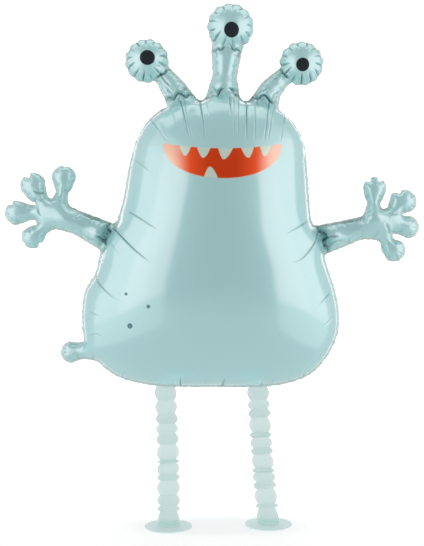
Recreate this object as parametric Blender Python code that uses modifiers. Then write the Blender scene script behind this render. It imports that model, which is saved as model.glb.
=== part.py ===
"""A foil walking balloon in the shape of a three-eyed creature, inflated and standing on its paper legs.

The foil envelope is two sheets welded round their edge. It lies in the XZ plane, and the gas fills it
out to both sides of that plane. Two folded paper legs hang from its lower hem, and each ends on a card
disc that stands on the floor. The front is towards -Y, and left and right are as the viewer sees them.

Everything is in metres, +Z is up, and the origin is on the floor below the middle of the figure.
"""

import math

import bmesh
import bpy
import numpy as np
from mathutils import Vector
from mathutils.geometry import delaunay_2d_cdt

COLLECTION_NAME = "walking_balloon"

# Driving sizes
FOIL_HEIGHT = 0.768  # from the lower hem to the top of the middle eye
HEM_HEIGHT = 0.278  # from the floor up to the lower hem
FULLNESS = 0.86  # how round the gas fills each cross-section, 1 is a full circle on a long tube
FLANGE_WIDTH = 0.005  # the flat welded edge outside the gas
FLANGE_THICKNESS = 0.0012
FILLET = 0.007  # rounding where a limb's outline runs into the next
MEET_GAP = 0.0003  # clearance between pieces that touch

# The paper legs
LEG_STRIP_HALF_WIDTH = 0.0225  # at the widest part of each scalloped panel
LEG_FOLD_HALF_WIDTH = 0.0155  # at each fold
LEG_FOLD_DEPTH = 0.013  # how far the folds stand to the front and back of the leg's line
LEG_PAPER = 0.0005
LEG_GLUE_TAB = 0.024  # the flap glued flat on the foot
LEG_TAB_ROUNDING = math.radians(72)  # how far round an arc the flap's free end narrows

# The card feet
FOOT_RADIUS = 0.0475
FOOT_THICKNESS = 0.0032
FOOT_EDGE_ROUNDING = 0.0010

# Mesh sizes
BODY_OUTLINE_STEP = 0.0155
LIMB_OUTLINE_STEP = 0.0100
EYE_OUTLINE_STEP = 0.0052
TRACE_CELL = 0.004
TRACE_MARGIN = 0.030
LATTICE_STEPS = ((0.0125, 0.0), (0.025, 0.022), (0.050, 0.062))  # spacing, from this depth inwards
LATTICE_CLEARANCE = 0.55  # shares of the spacing that lattice points keep off the seam
PANEL_STEPS = 6  # cross strips in one panel of a leg
TAB_STEPS = 5
FOOT_SEGMENTS = 40
SHARP_ANGLE = math.radians(40)
SAME_PLACE = 1e-7  # points closer than this are one point
SOLVED_SHARE = 1e-16  # the membrane is solved when this share of its load is left

# The figure is drawn in millimetres, at this height from the hem to the top of the middle eye.
DRAWN_HEIGHT = 768.0
MM = FOIL_HEIGHT / DRAWN_HEIGHT

# The body's outline, from the middle of the hem, up the viewer's right side and down the left.
BODY_OUTLINE = (
    (6, 0), (90, 0), (148, 6.5), (197, 25), (230, 59), (252, 104), (255, 148), (248, 190), (231, 244),
    (216, 294), (200, 336), (196, 374), (191, 440), (185, 490), (164, 528), (130, 556), (66, 573),
    (22, 578), (-28, 573), (-92, 559), (-129, 530), (-152, 490), (-167, 432), (-177, 374), (-195, 319),
    (-223, 266), (-232, 228), (-253.5, 192), (-259, 144), (-255, 98), (-231, 55), (-188, 21), (-124, 4),
    (-60, 0),
)

# Limbs are strokes of points (x, z, half width), from the root outwards.
LIMBS = {
    "left_arm": ((-205, 298, 30), (-239, 315, 27), (-268, 329, 24), (-306, 342, 27.5), (-318, 343, 27)),
    "left_finger_1": ((-304, 362, 18), (-299.5, 388, 12.5), (-295.5, 407, 20), (-295.4, 417.5, 25.2)),
    "left_finger_2": ((-330, 364, 13.5), (-340, 378, 13.5), (-351, 390.5, 21.5), (-356.5, 402.5, 26.2)),
    "left_finger_3": ((-338, 348, 15), (-362, 348.5, 15.2), (-378, 349, 20.6), (-388, 348.5, 25.2)),
    "left_finger_4": ((-328, 328, 16), (-341, 314, 14.5), (-351, 305, 19.5), (-357, 300, 23.2)),
    "right_arm": ((222, 295, 30), (262, 306.5, 26), (296, 317.3, 22.5), (326, 321, 27), (336, 323, 27)),
    "right_finger_1": ((323, 343, 19), (324.5, 368, 13), (325.5, 386, 20.5), (326.5, 396.5, 24)),
    "right_finger_2": ((348, 342, 14), (362, 352, 12.5), (375, 364.5, 21), (386, 370, 24.6)),
    "right_finger_3": ((352, 322, 15), (370, 319.5, 13), (383, 319.5, 18), (391.5, 320, 23.6)),
    "right_finger_4": ((343, 306, 16), (350.5, 290, 12), (357.5, 280, 19), (364.5, 274, 23.6)),
    "left_stalk": ((-54, 560, 30), (-76, 596, 25), (-98, 626, 19.2), (-112, 641, 20)),
    "middle_stalk": ((22, 566, 37), (24.5, 596, 30.5), (26.5, 622, 24.6), (30, 668, 30.5), (32, 684, 32)),
    "right_stalk": ((103, 560, 31), (117, 592, 23.5), (134.5, 611.5, 20), (149, 624, 18), (160, 634, 21)),
    "filling_tail": ((-232, 74, 21), (-260, 73, 17), (-272, 71, 19), (-279.5, 70, 22)),
}

# Eye discs: middle x and z, radius to the petal tops, and the turn of the first petal in degrees.
EYES = {
    "left_eye": (-129.2, 652.0, 44.8, 10.0),
    "middle_eye": (38.0, 720.2, 47.8, 0.0),
    "right_eye": (180.0, 646.8, 45.0, 20.0),
}
EYE_PETALS = 13
EYE_PETAL_DEPTH = 4.0

# Welded pinches across the limbs: two ends, and the share of the thickness that is left between them.
PINCHES = (
    ((-192, 332), (-224, 268), 0.30),
    ((208, 326), (236, 258), 0.30),
    ((-92, 566), (-24, 574), 0.55),
    ((-14, 582), (58, 582), 0.55),
    ((64, 574), (134, 560), 0.55),
    ((-112, 616), (-86, 640), 0.60),
    ((0, 676), (62, 676), 0.60),
    ((134, 640), (152, 614), 0.60),
)
PINCH_REACH = 13.0

# Each leg: x at the hem, x and y of its foot, how far it sways to the right between them, and where
# its folds are as shares of its height, top to bottom.
LEGS = {
    "left": (
        -94.0, -86.5, -8.0, 2.5,
        (0.0, 0.10, 0.19, 0.265, 0.34, 0.415, 0.52, 0.55, 0.62, 0.68, 0.76, 0.86, 0.885),
    ),
    "right": (
        91.5, 113.5, 8.0, -2.0,
        (0.0, 0.10, 0.155, 0.23, 0.33, 0.375, 0.435, 0.50, 0.595, 0.63, 0.69, 0.75, 0.855, 0.885),
    ),
}

COLOURS = {
    "foil": (0.42, 0.66, 0.66, 0.32, 0.75),
    "leg_paper": (0.62, 0.80, 0.74, 0.75, 0.0),
    "foot_card": (0.55, 0.75, 0.70, 0.60, 0.0),
}


def start_scene():
    for old in list(bpy.data.objects):
        bpy.data.objects.remove(old, do_unlink=True)
    collection = bpy.data.collections.new(COLLECTION_NAME)
    bpy.context.scene.collection.children.link(collection)
    return collection


def material(name):
    red, green, blue, roughness, metallic = COLOURS[name]
    made = bpy.data.materials.new(name)
    made.use_nodes = True
    shader = made.node_tree.nodes["Principled BSDF"]
    shader.inputs["Base Color"].default_value = (red, green, blue, 1.0)
    shader.inputs["Roughness"].default_value = roughness
    shader.inputs["Metallic"].default_value = metallic
    return made


def add_object(name, mesh, paint, collection):
    made = bpy.data.objects.new(name, mesh)
    mesh.materials.append(paint)
    collection.objects.link(made)
    return made


def smooth_loop(points, per_span=8):
    """A closed Catmull-Rom curve through the points, as an array of points."""
    anchors = np.array(points, float)
    before, after, next_after = (np.roll(anchors, n, axis=0) for n in (1, -1, -2))
    steps = np.linspace(0, 1, per_span, endpoint=False)[:, None, None]
    curve = 0.5 * (
        2 * anchors
        + (after - before) * steps
        + (2 * before - 5 * anchors + 4 * after - next_after) * steps**2
        + (3 * anchors - before - 3 * after + next_after) * steps**3
    )
    return curve.transpose(1, 0, 2).reshape(-1, 2)


def polygon_distance(points, loop):
    """Distance to a closed outline, negative inside it."""
    nearest = np.full(len(points), np.inf)
    crossings = np.zeros(len(points), int)
    for start, end in zip(loop, np.roll(loop, -1, axis=0)):
        along = end - start
        share = np.clip(((points - start) @ along) / max(along @ along, SAME_PLACE**2), 0, 1)
        nearest = np.minimum(nearest, np.linalg.norm(points - start - share[:, None] * along, axis=1))
        spans = (start[1] > points[:, 1]) != (end[1] > points[:, 1])
        if along[1] != 0:
            meets_x = start[0] + (points[:, 1] - start[1]) * along[0] / along[1]
            crossings += spans & (points[:, 0] < meets_x)
    return np.where(crossings % 2 == 1, -nearest, nearest)


def stroke_distance(points, stroke):
    """Distance to a stroke whose half width changes from point to point, negative inside it."""
    nearest = np.full(len(points), np.inf)
    for (x0, z0, r0), (x1, z1, r1) in zip(stroke, stroke[1:]):
        start = np.array((x0, z0))
        along = np.array((x1, z1)) - start
        share = np.clip(((points - start) @ along) / (along @ along), 0, 1)
        gap = np.linalg.norm(points - start - share[:, None] * along, axis=1)
        nearest = np.minimum(nearest, gap - (r0 + share * (r1 - r0)))
    return nearest


def eye_distance(points, eye):
    """Distance to an eye disc with a scalloped edge, negative inside it."""
    x, z, radius, turn = eye
    offset = points - np.array((x, z))
    angle = np.arctan2(offset[:, 1], offset[:, 0]) - math.radians(turn)
    petal = np.abs(np.sin(angle * EYE_PETALS / 2))
    return np.linalg.norm(offset, axis=1) - (radius - EYE_PETAL_DEPTH * (1 - petal))


def smooth_union(first, second, reach):
    """The union of two distances, with the corner between them filled to about this reach."""
    share = np.clip(0.5 + 0.5 * (second - first) / reach, 0, 1)
    return second + (first - second) * share - reach * share * (1 - share)


def figure_distance(points):
    """Distance in metres from the whole figure's outline, negative inside it."""
    drawn = np.asarray(points, float) / MM
    reach = FILLET / MM
    distance = polygon_distance(drawn, smooth_loop(BODY_OUTLINE))
    for stroke in LIMBS.values():
        distance = smooth_union(distance, stroke_distance(drawn, stroke), reach)
    for eye in EYES.values():
        distance = np.minimum(distance, eye_distance(drawn, eye))
    return distance * MM


def trace_level(level, low, high, cell):
    """The longest closed loop where the figure's distance has this level, by marching squares."""
    xs = np.arange(low[0], high[0] + cell, cell)
    zs = np.arange(low[1], high[1] + cell, cell)
    grid_x, grid_z = np.meshgrid(xs, zs, indexing="ij")
    flat = np.column_stack((grid_x.ravel(), grid_z.ravel()))
    value = figure_distance(flat).reshape(grid_x.shape) - level
    value[np.abs(value) < SAME_PLACE] = SAME_PLACE
    links = {}

    def crossing(a, b):
        share = value[a] / (value[a] - value[b])
        return xs[a[0]] + share * (xs[b[0]] - xs[a[0]]), zs[a[1]] + share * (zs[b[1]] - zs[a[1]])

    places = {}
    inside = value < 0
    mixed = inside[:-1, :-1].astype(int) + inside[1:, :-1] + inside[:-1, 1:] + inside[1:, 1:]
    for i, k in zip(*np.nonzero((mixed > 0) & (mixed < 4))):
        corners = ((i, k), (i + 1, k), (i + 1, k + 1), (i, k + 1))
        found = []
        for a, b in zip(corners, corners[1:] + corners[:1]):
            if inside[a] != inside[b]:
                key = (min(a, b), max(a, b))
                places[key] = crossing(a, b)
                found.append(key)
        for a, b in zip(found[::2], found[1::2]):
            links.setdefault(a, []).append(b)
            links.setdefault(b, []).append(a)
    loops, unused = [], set(links)
    while unused:
        first = min(unused)
        loop, previous, here = [first], None, first
        while True:
            unused.discard(here)
            onward = [k for k in links[here] if k != previous and (k in unused or k == first)]
            if not onward or onward[0] == first:
                break
            previous, here = here, onward[0]
            loop.append(here)
        loops.append(np.array([places[k] for k in loop]))
    return max(loops, key=len)


def outline_step(points):
    """How far apart outline points are here: close on the eye petals, wider on the limbs and the body."""
    drawn = points / MM
    step = np.full(len(points), BODY_OUTLINE_STEP)
    limb = np.min([stroke_distance(drawn, stroke) for stroke in LIMBS.values()], axis=0)
    step[limb * MM < BODY_OUTLINE_STEP / 2] = LIMB_OUTLINE_STEP
    for eye in EYES.values():
        step[eye_distance(drawn, eye) * MM < FLANGE_WIDTH / 2] = EYE_OUTLINE_STEP
    return step


def spaced_loop(loop):
    """The loop again with points spaced along it as its outline step says."""
    closed = np.vstack((loop, loop[:1]))
    steps = outline_step((closed[1:] + closed[:-1]) / 2)
    travelled = np.cumsum(np.linalg.norm(np.diff(closed, axis=0), axis=1) / steps)
    travelled = np.concatenate(((0,), travelled))
    wanted = np.linspace(0, travelled[-1], int(round(travelled[-1])), endpoint=False)
    return np.column_stack([np.interp(wanted, travelled, closed[:, n]) for n in (0, 1)])


def figure_reach():
    """The corners of a box that holds the whole figure with a margin all round."""
    points = [(x, z, 0) for x, z in BODY_OUTLINE]
    points += [point for stroke in LIMBS.values() for point in stroke]
    points += [eye[:3] for eye in EYES.values()]
    x, z, radius = np.array(points, float).T * MM
    low = np.array(((x - radius).min(), (z - radius).min())) - TRACE_MARGIN
    high = np.array(((x + radius).max(), (z + radius).max())) + TRACE_MARGIN
    return low, high


def lattice_points(low, high, seam_level):
    """Points of a triangular lattice inside the seam, closer together near it than far from it."""
    chosen = []
    for number, (spacing, from_depth) in enumerate(LATTICE_STEPS):
        to_depth = LATTICE_STEPS[number + 1][1] if number + 1 < len(LATTICE_STEPS) else np.inf
        row_height = spacing * math.sqrt(3) / 2
        rows = np.arange(low[1], high[1], row_height)
        columns = np.arange(low[0], high[0], spacing)
        grid_x, grid_z = np.meshgrid(columns, rows)
        grid_x = grid_x + (np.arange(len(rows)) % 2)[:, None] * spacing / 2
        points = np.column_stack((grid_x.ravel(), grid_z.ravel()))
        depth = seam_level - figure_distance(points)
        nearest_allowed = max(from_depth, spacing * LATTICE_CLEARANCE)
        chosen.append(points[(depth > nearest_allowed) & (depth <= to_depth)])
    return np.vstack(chosen)


def gas_heights(points, triangles, free):
    """Half thickness of the filled envelope at each point.

    It is the root of a membrane's height under an even load, which is a circle across a long tube.
    """
    corners = points[triangles]
    edges = [corners[:, (n + 2) % 3] - corners[:, (n + 1) % 3] for n in range(3)]
    doubled_area = np.abs(edges[0][:, 0] * edges[1][:, 1] - edges[0][:, 1] * edges[1][:, 0])
    load = np.zeros(len(points))
    for n in range(3):
        np.add.at(load, triangles[:, n], doubled_area / 6)
    pairs, stiffness = [], []
    for n in range(3):
        first, second = triangles[:, (n + 1) % 3], triangles[:, (n + 2) % 3]
        cotangent = -(edges[(n + 1) % 3] * edges[(n + 2) % 3]).sum(1) / doubled_area
        pairs.append(np.column_stack((first, second)))
        stiffness.append(cotangent / 2)
    pairs, stiffness = np.vstack(pairs), np.concatenate(stiffness)

    def apply(height):
        flow = stiffness * (height[pairs[:, 0]] - height[pairs[:, 1]])
        total = np.bincount(pairs[:, 0], flow, len(points)) - np.bincount(pairs[:, 1], flow, len(points))
        return np.where(free, total, 0)

    height = np.zeros(len(points))
    rest = np.where(free, load, 0)
    step = rest.copy()
    power = rest @ rest
    target = power * SOLVED_SHARE
    while power > target:
        turned = apply(step)
        share = power / (step @ turned)
        height += share * step
        rest -= share * turned
        fresh = rest @ rest
        step = rest + step * (fresh / power)
        power = fresh
    return np.sqrt(np.maximum(2 * height, 0)) * FULLNESS


def pinch_share(points):
    """The share of the thickness that the welded pinches leave at each point."""
    drawn = points / MM
    share = np.ones(len(points))
    for start, end, left in PINCHES:
        start, along = np.array(start, float), np.subtract(end, start).astype(float)
        place = np.clip(((drawn - start) @ along) / (along @ along), 0, 1)
        gap = np.linalg.norm(drawn - start - place[:, None] * along, axis=1)
        share *= 1 - (1 - left) * np.exp(-((gap / PINCH_REACH) ** 2))
    return share


def foil_envelope(collection):
    """The two welded sheets, filled with gas, with their flat flange all round."""
    reach_low, reach_high = figure_reach()
    outer = spaced_loop(trace_level(0.0, reach_low, reach_high, TRACE_CELL))
    seam = spaced_loop(trace_level(-FLANGE_WIDTH, reach_low, reach_high, TRACE_CELL))
    inner = lattice_points(reach_low, reach_high, -FLANGE_WIDTH)
    flat = np.vstack((outer, seam, inner))
    first_seam, first_inner = len(outer), len(outer) + len(seam)
    loops = [list(range(first_seam)), list(range(first_seam, first_inner))]
    edges = [(a, b) for loop in loops for a, b in zip(loop, loop[1:] + loop[:1])]
    found = delaunay_2d_cdt([Vector(p) for p in flat], edges, [], 0, SAME_PLACE)
    points = np.array([tuple(p) for p in found[0]])
    triangles = np.array([face for face in found[2]])
    middles = points[triangles].mean(1)
    triangles = triangles[polygon_distance(middles, outer) < 0]
    free = polygon_distance(points, seam) < -MEET_GAP / 10
    half = FLANGE_THICKNESS / 2
    depth = half + gas_heights(points, triangles, free) * pinch_share(points)
    shift = (outer[:, 0].min() + outer[:, 0].max()) / 2

    shape = bmesh.new()
    front = [shape.verts.new((x - shift, -d, z + HEM_HEIGHT)) for (x, z), d in zip(points, depth)]
    back = [shape.verts.new((x - shift, d, z + HEM_HEIGHT)) for (x, z), d in zip(points, depth)]
    for a, b, c in triangles:
        shape.faces.new((front[a], front[b], front[c]))
        shape.faces.new((back[c], back[b], back[a]))
    for a, b in shape_border(triangles):
        shape.faces.new((front[b], front[a], back[a], back[b]))
    loose = [v for v in shape.verts if not v.link_faces]
    bmesh.ops.delete(shape, geom=loose, context="VERTS")
    bmesh.ops.triangulate(shape, faces=[f for f in shape.faces if len(f.verts) > 3])
    bmesh.ops.recalc_face_normals(shape, faces=shape.faces)
    mesh = bpy.data.meshes.new("foil_envelope")
    shape.to_mesh(mesh)
    shape.free()
    mesh.shade_smooth()
    add_object("foil_envelope", mesh, material("foil"), collection)


def shape_border(triangles):
    """The edges that only one triangle has, in that triangle's own direction."""
    directed = [(int(t[n]), int(t[(n + 1) % 3])) for t in triangles for n in range(3)]
    known = set(directed)
    return [(a, b) for a, b in directed if (b, a) not in known]


def hem_height_at(x):
    """Height of the figure's lower edge above the hem line at x."""
    heights = np.arange(-TRACE_MARGIN, TRACE_MARGIN, TRACE_CELL / 4)
    distance = figure_distance(np.column_stack((np.full(len(heights), x), heights)))
    return float(np.interp(0, -distance, heights))


def leg_corners(side):
    """Where one leg's fold lines are: at the hem, at each fold, and at the back of the flap on the foot."""
    hem_x, foot_x, foot_y, sway, folds = LEGS[side]
    top = HEM_HEIGHT + hem_height_at(hem_x * MM)
    bottom = FOOT_THICKNESS + MEET_GAP + LEG_PAPER / 2
    behind_flange = FLANGE_THICKNESS / 2 + MEET_GAP + LEG_PAPER / 2
    corners = []
    for number, share in enumerate(folds):
        x = (hem_x + (foot_x - hem_x) * share + sway * math.sin(math.pi * share)) * MM
        y = behind_flange + (foot_y * MM - behind_flange) * share
        if number > 0:
            y += LEG_FOLD_DEPTH if number % 2 else -LEG_FOLD_DEPTH
        corners.append((x, y, top + (bottom - top) * share))
    corners.append((foot_x * MM, foot_y * MM + LEG_GLUE_TAB / 2, bottom))
    return corners


def leg_rows(corners):
    """The strip's cross lines down the leg, each with its middle and its half width."""
    spread = LEG_STRIP_HALF_WIDTH - LEG_FOLD_HALF_WIDTH
    x, behind_flange, hem = corners[0]
    glued_end = hem + FLANGE_WIDTH - 3 * MEET_GAP - LEG_PAPER
    rows = [(x, behind_flange, glued_end, LEG_FOLD_HALF_WIDTH), (*corners[0], LEG_FOLD_HALF_WIDTH)]
    for start, end in zip(corners, corners[1:]):
        last_panel = end is corners[-1]
        for n in range(1, PANEL_STEPS + 1):
            share = n / PANEL_STEPS
            bulge = math.sin(math.pi * share * (0.5 if last_panel else 1.0))
            width = LEG_FOLD_HALF_WIDTH + spread * math.sqrt(max(bulge, 0))
            rows.append((*(a + (b - a) * share for a, b in zip(start, end)), width))
    foot_x, tab_back, bottom = corners[-1]
    for n in range(1, TAB_STEPS + 1):
        share = n / TAB_STEPS
        width = LEG_STRIP_HALF_WIDTH * math.cos(share * LEG_TAB_ROUNDING)
        rows.append((foot_x, tab_back - LEG_GLUE_TAB * share, bottom, width))
    return rows


def paper_leg(side, paper, collection):
    """One leg: a strip of round-edged panels folded to and fro, from the hem down to its foot."""

    shape = bmesh.new()
    edges = []
    for x, y, z, width in leg_rows(leg_corners(side)):
        edges.append((shape.verts.new((x - width, y, z)), shape.verts.new((x + width, y, z))))
    for (a, b), (c, d) in zip(edges, edges[1:]):
        shape.faces.new((a, b, d, c))
    mesh = bpy.data.meshes.new("leg_" + side)
    shape.to_mesh(mesh)
    shape.free()
    made = add_object("leg_" + side, mesh, paper, collection)
    thick = made.modifiers.new("paper thickness", "SOLIDIFY")
    thick.thickness = LEG_PAPER
    thick.offset = 0
    thick.use_even_offset = True
    return made


def card_foot(side, card, collection):
    """One round card foot, flat on the floor."""
    foot_x, foot_y = LEGS[side][1] * MM, LEGS[side][2] * MM
    shape = bmesh.new()
    bmesh.ops.create_cone(
        shape,
        cap_ends=True,
        segments=FOOT_SEGMENTS,
        radius1=FOOT_RADIUS,
        radius2=FOOT_RADIUS,
        depth=FOOT_THICKNESS,
    )
    mesh = bpy.data.meshes.new("foot_" + side)
    shape.to_mesh(mesh)
    shape.free()
    mesh.shade_smooth()
    mesh.set_sharp_from_angle(angle=SHARP_ANGLE)
    made = add_object("foot_" + side, mesh, card, collection)
    made.location = (foot_x, foot_y, FOOT_THICKNESS / 2)
    rounding = made.modifiers.new("rounded edge", "BEVEL")
    rounding.width = FOOT_EDGE_ROUNDING
    rounding.segments = 2
    rounding.limit_method = "ANGLE"
    return made


def main():
    collection = start_scene()
    foil_envelope(collection)
    paper, card = material("leg_paper"), material("foot_card")
    for side in LEGS:
        paper_leg(side, paper, collection)
        card_foot(side, card, collection)


main()
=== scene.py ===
"""Looks of the foil walking balloon, laid out as a Blender add-on that is run as a script."""

import math
import random

import bpy
import numpy as np
from bpy.props import FloatProperty, FloatVectorProperty, PointerProperty
from bpy.types import Operator, Panel, PropertyGroup
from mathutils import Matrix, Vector, noise
from mathutils.geometry import delaunay_2d_cdt
from mathutils.kdtree import KDTree


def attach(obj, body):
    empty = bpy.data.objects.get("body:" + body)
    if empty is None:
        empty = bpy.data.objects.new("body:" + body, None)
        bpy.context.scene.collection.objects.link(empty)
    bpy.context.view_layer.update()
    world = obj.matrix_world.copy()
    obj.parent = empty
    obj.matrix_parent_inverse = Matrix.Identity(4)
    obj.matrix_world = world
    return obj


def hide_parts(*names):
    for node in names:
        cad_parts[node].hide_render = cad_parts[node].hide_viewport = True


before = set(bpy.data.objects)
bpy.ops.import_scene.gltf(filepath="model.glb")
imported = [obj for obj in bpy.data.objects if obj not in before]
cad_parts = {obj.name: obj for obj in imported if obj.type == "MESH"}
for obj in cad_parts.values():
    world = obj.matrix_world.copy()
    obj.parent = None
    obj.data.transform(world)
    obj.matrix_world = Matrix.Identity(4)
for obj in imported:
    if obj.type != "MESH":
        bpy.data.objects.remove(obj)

bl_info = {
    "name": "Foil walking balloon",
    "version": (1, 0, 0),
    "blender": (4, 5, 0),
    "location": "3D View > Sidebar > Balloon",
    "description": "Builds the foil envelope, the paper legs, the card feet and the studio",
    "category": "Add Mesh",
}

MM = 0.001

# Numbers below are in millimetres, with x and z as in the frame, unless a comment says otherwise

# Rows of points along the outline: their spacing, and how deep they go into the room inside
RIM_STEP = 2.2
CURVE_PIECES = 8
NODE_DIGITS = 6
RING_COUNT = 7
RING_DEPTH = 12.0
RING_SHARE = 0.55
LEAST_RING_DEPTH = 0.8
FLANGE_HALF_THICKNESS = 0.4
FLANGE_SHARE = 0.4
NORMAL_REACH = 2

# The room inside the outline: the largest radius that counts, and how many neighbours share a value
ROOM_LIMIT = 60.0
ROOM_AHEAD = 0.05
ROOM_NEIGHBOURS = 4
ROOM_SPREAD = 5

# Points inside the rows: a lattice, and denser rows beside each fold, placed in shares of its half width
LATTICE_STEP = 3.3
LATTICE_RING_SHARE = 0.55
LATTICE_CLEARANCE = 2.3
FOLD_ROW_STEP = 2.6
FOLD_ROW_OFFSETS = (0, -0.8, 0.8, -2.0, 2.0, -3.6, 3.6)
FOLD_ROW_CLEARANCE = 0.7
RING_CLEARANCE = 1.2
CELL = 4

# Limits of the sums: points in one place, flat triangles, the solver's last step
SAME_PLACE = 1e-7
FLAT_TRIANGLE = 1e-9
SMALLEST_LENGTH = 1e-12
SOLVED_SHARE = 1e-14

# Welded pinches where the limbs leave the body: start, end, share of the thickness left
PINCHES = (
    ((-193, 610), (-225, 546), 0.30),
    ((207, 604), (235, 536), 0.30),
    ((-93, 844), (-25, 852), 0.55),
    ((-15, 860), (57, 860), 0.55),
    ((63, 852), (133, 838), 0.55),
    ((-113, 894), (-87, 918), 0.60),
    ((-1, 954), (61, 954), 0.60),
    ((133, 918), (151, 892), 0.60),
)
PINCH_REACH = 13.0

# Shares that are built of the widths listed for creases and for folds
CREASE_WIDTH = 0.66
ROOT_FOLD_WIDTH = 0.8

# A fold's section in half widths: a steep valley between two low lips, with painted shade at its bottom
VALLEY_STEEPNESS = 1.5
LIP_HEIGHT = 0.32
LIP_PLACE = 2.1
LIP_WIDTH = 0.9
SHADE_WIDTH = 0.75
FOLD_REACH = 5
# Spacing of the points along a fold that distances are measured from
FOLD_STEP = 4.0
# A crease fades from this strength at the seam, and a fold is this strong at its two ends
CREASE_START = 1.6
CREASE_FADE = 0.9
FOLD_END_STRENGTH = 0.35
FOLD_END_FADE = 5
# How far a lip may stand out, and how much of the half thickness a valley may take
HIGHEST_LIP = 2.0
DEEPEST_SHARE = 0.7

# Eye discs: middle x, middle z, radius, turn in degrees
EYES = (
    (-130.2, 930.0, 44.8, 10.0),
    (37.0, 998.2, 47.8, 0.0),
    (179.0, 924.8, 45.0, 20.0),
)
EYE_PETALS = 13

# Creases between an eye's petals: inner end as a share of the radius, sideways lean, depth, strength of the
# painted shade
EYE_CREASE_END = (0.44, 0.66)
EYE_CREASE_LEAN = (-3.5, 3.5)
EYE_CREASE_DEPTH = (2.8, 5.2)
EYE_CREASE_SHADE = (0.3, 1.0)
EYE_CREASE_HALF_WIDTH = 1.6
EYE_CREASE_EDGE = 4.0
EYE_CREASE_BEND = 0.4

# Short creases square to the seam: spacing and depth where the envelope is narrow and where it is wide
NARROW_ROOM = 35.0
NARROW_PUCKERS = ((12, 30), (1.0, 2.4))
WIDE_PUCKERS = ((22, 60), (0.6, 1.5))
FIRST_PUCKER = 10.0
PUCKER_AFTER_EYE = 12.0
PUCKER_EYE_CLEARANCE = 4
PUCKER_LENGTH = (8, 20)
PUCKER_ROOM_SHARE = 0.8
PUCKER_LEAN = (-0.25, 0.25)
PUCKER_HALF_WIDTH = (1.4, 2.8)
# Strength of the painted shade in each pucker
PUCKER_SHADE = (0.0, 0.35)

# Places where the welded edge is notched or pushed out: x, z, shift in x, shift in z, reach
DENTS = (
    (-368.7, 702.4, 3.4, -10.0, 4.0),
    (-404.0, 645.4, 5.5, -4.0, 4.0),
    (-402.8, 613.7, 2.0, 2.0, 4.0),
    (-373.0, 568.3, 5.0, 5.0, 4.0),
    (-342.7, 561.0, -2.5, 4.0, 4.0),
    (-293.7, 718.9, 0.0, -3.0, 3.5),
    (312.9, 693.6, 4.8, -7.5, 4.0),
    (337.2, 694.4, -4.0, -6.5, 4.0),
    (362.7, 660.7, -3.0, 5.0, 7.0),
    (374.2, 667.8, 2.5, -5.0, 4.0),
    (393.8, 625.1, -14.0, -1.5, 6.0),
    (-118.8, 809.0, 2.6, -3.2, 4.2),
    (-134.0, 795.0, 2.8, -2.8, 4.2),
    (-143.5, 782.0, 3.3, -2.1, 4.2),
    (-154.5, 753.0, 3.7, -0.9, 4.6),
    (-156.5, 736.0, 3.2, -0.6, 4.6),
    (148.0, 818.0, -2.4, -3.2, 4.2),
    (169.6, 792.0, -2.8, -2.1, 4.2),
    (180.8, 774.0, -3.1, -1.5, 4.2),
    (188.0, 749.0, -2.8, -0.6, 4.2),
    (-20.0, 850.0, 0.0, -3.0, 3.5),
    (72.0, 848.0, 0.0, -3.0, 3.5),
)

# Extra rounding of the sheets: middle x, middle z, reach, height
SWELLS = (
    (-286.0, 612.0, 28.0, 11.0),
    (314.0, 622.0, 28.0, 11.0),
    (-336.0, 672.0, 12.0, 3.0),
    (-130.0, 930.0, 26.0, 4.0),
    (37.0, 998.0, 28.0, 4.0),
    (179.0, 925.0, 26.0, 4.0),
    (-38.0, 832.0, 12.0, 5.0),
    (-4.0, 838.0, 12.0, 4.0),
    (78.0, 834.0, 12.0, 5.0),
    (101.0, 826.0, 9.0, 3.0),
)
SWELL_CLEARANCE = 8.0

# Sharp facets on the limbs: their size, their reach from a pinch, and their strength elsewhere on a limb
CRUMPLE_SIZE = 15.0
CRUMPLE_REACH = 24.0
LIMB_CRUMPLE = 0.3
LIMB_THICKNESS = 40.0
LIMB_EDGE = 4.0
FINE_FACETS = 2.1
FINE_FACET_SHARE = 0.5
FINE_FACET_PLACE = 7.0
FACET_LEVEL = 0.3
# The facets' valleys get painted shade: the ridge value below which it starts, and its strength
FACET_VALLEY = 0.09
FACET_SHADE = 0.6
LEAST_CRUMPLE = 0.02

# Slow unevenness of the sheets, and of their welded edge: wavelengths, and each row's share of them
SHEET_WAVES = 7
SHEET_WAVELENGTHS = (70, 170)
FULL_HEIGHT = 60.0
LEAST_SCALLOP = 0.3
SCALLOP_WAVELENGTHS = (11, 17, 24)
RUFFLE_WAVELENGTHS = (17, 29, 47)
RUFFLE_SHARES = (1.0, 0.55, 0.4, 0.25, 0.12, 0.05)
# Each row's share of the weld's paler colour, partly painted light that lifts the shade in the seam's
# corner: rim, seam and the first two rows of the sheets
WELD_AND_PAINTED_LIGHT_SHARES = (1.0, 1.0, 0.8, 0.4)
# Waves of the edge swell and sink in groups: waves in a group, their middle strength and its change
WAVE_GROUP = 7
GROUP_MIDDLE = 0.6
GROUP_CHANGE = 0.4
PHASES = (0, 6)

# Seeds of the random draws
EYE_SEED = 5
PUCKER_SEED = 11
SHEET_SEED = 21
SCALLOP_SEED = 8
RUFFLE_SEED = 3
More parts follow.
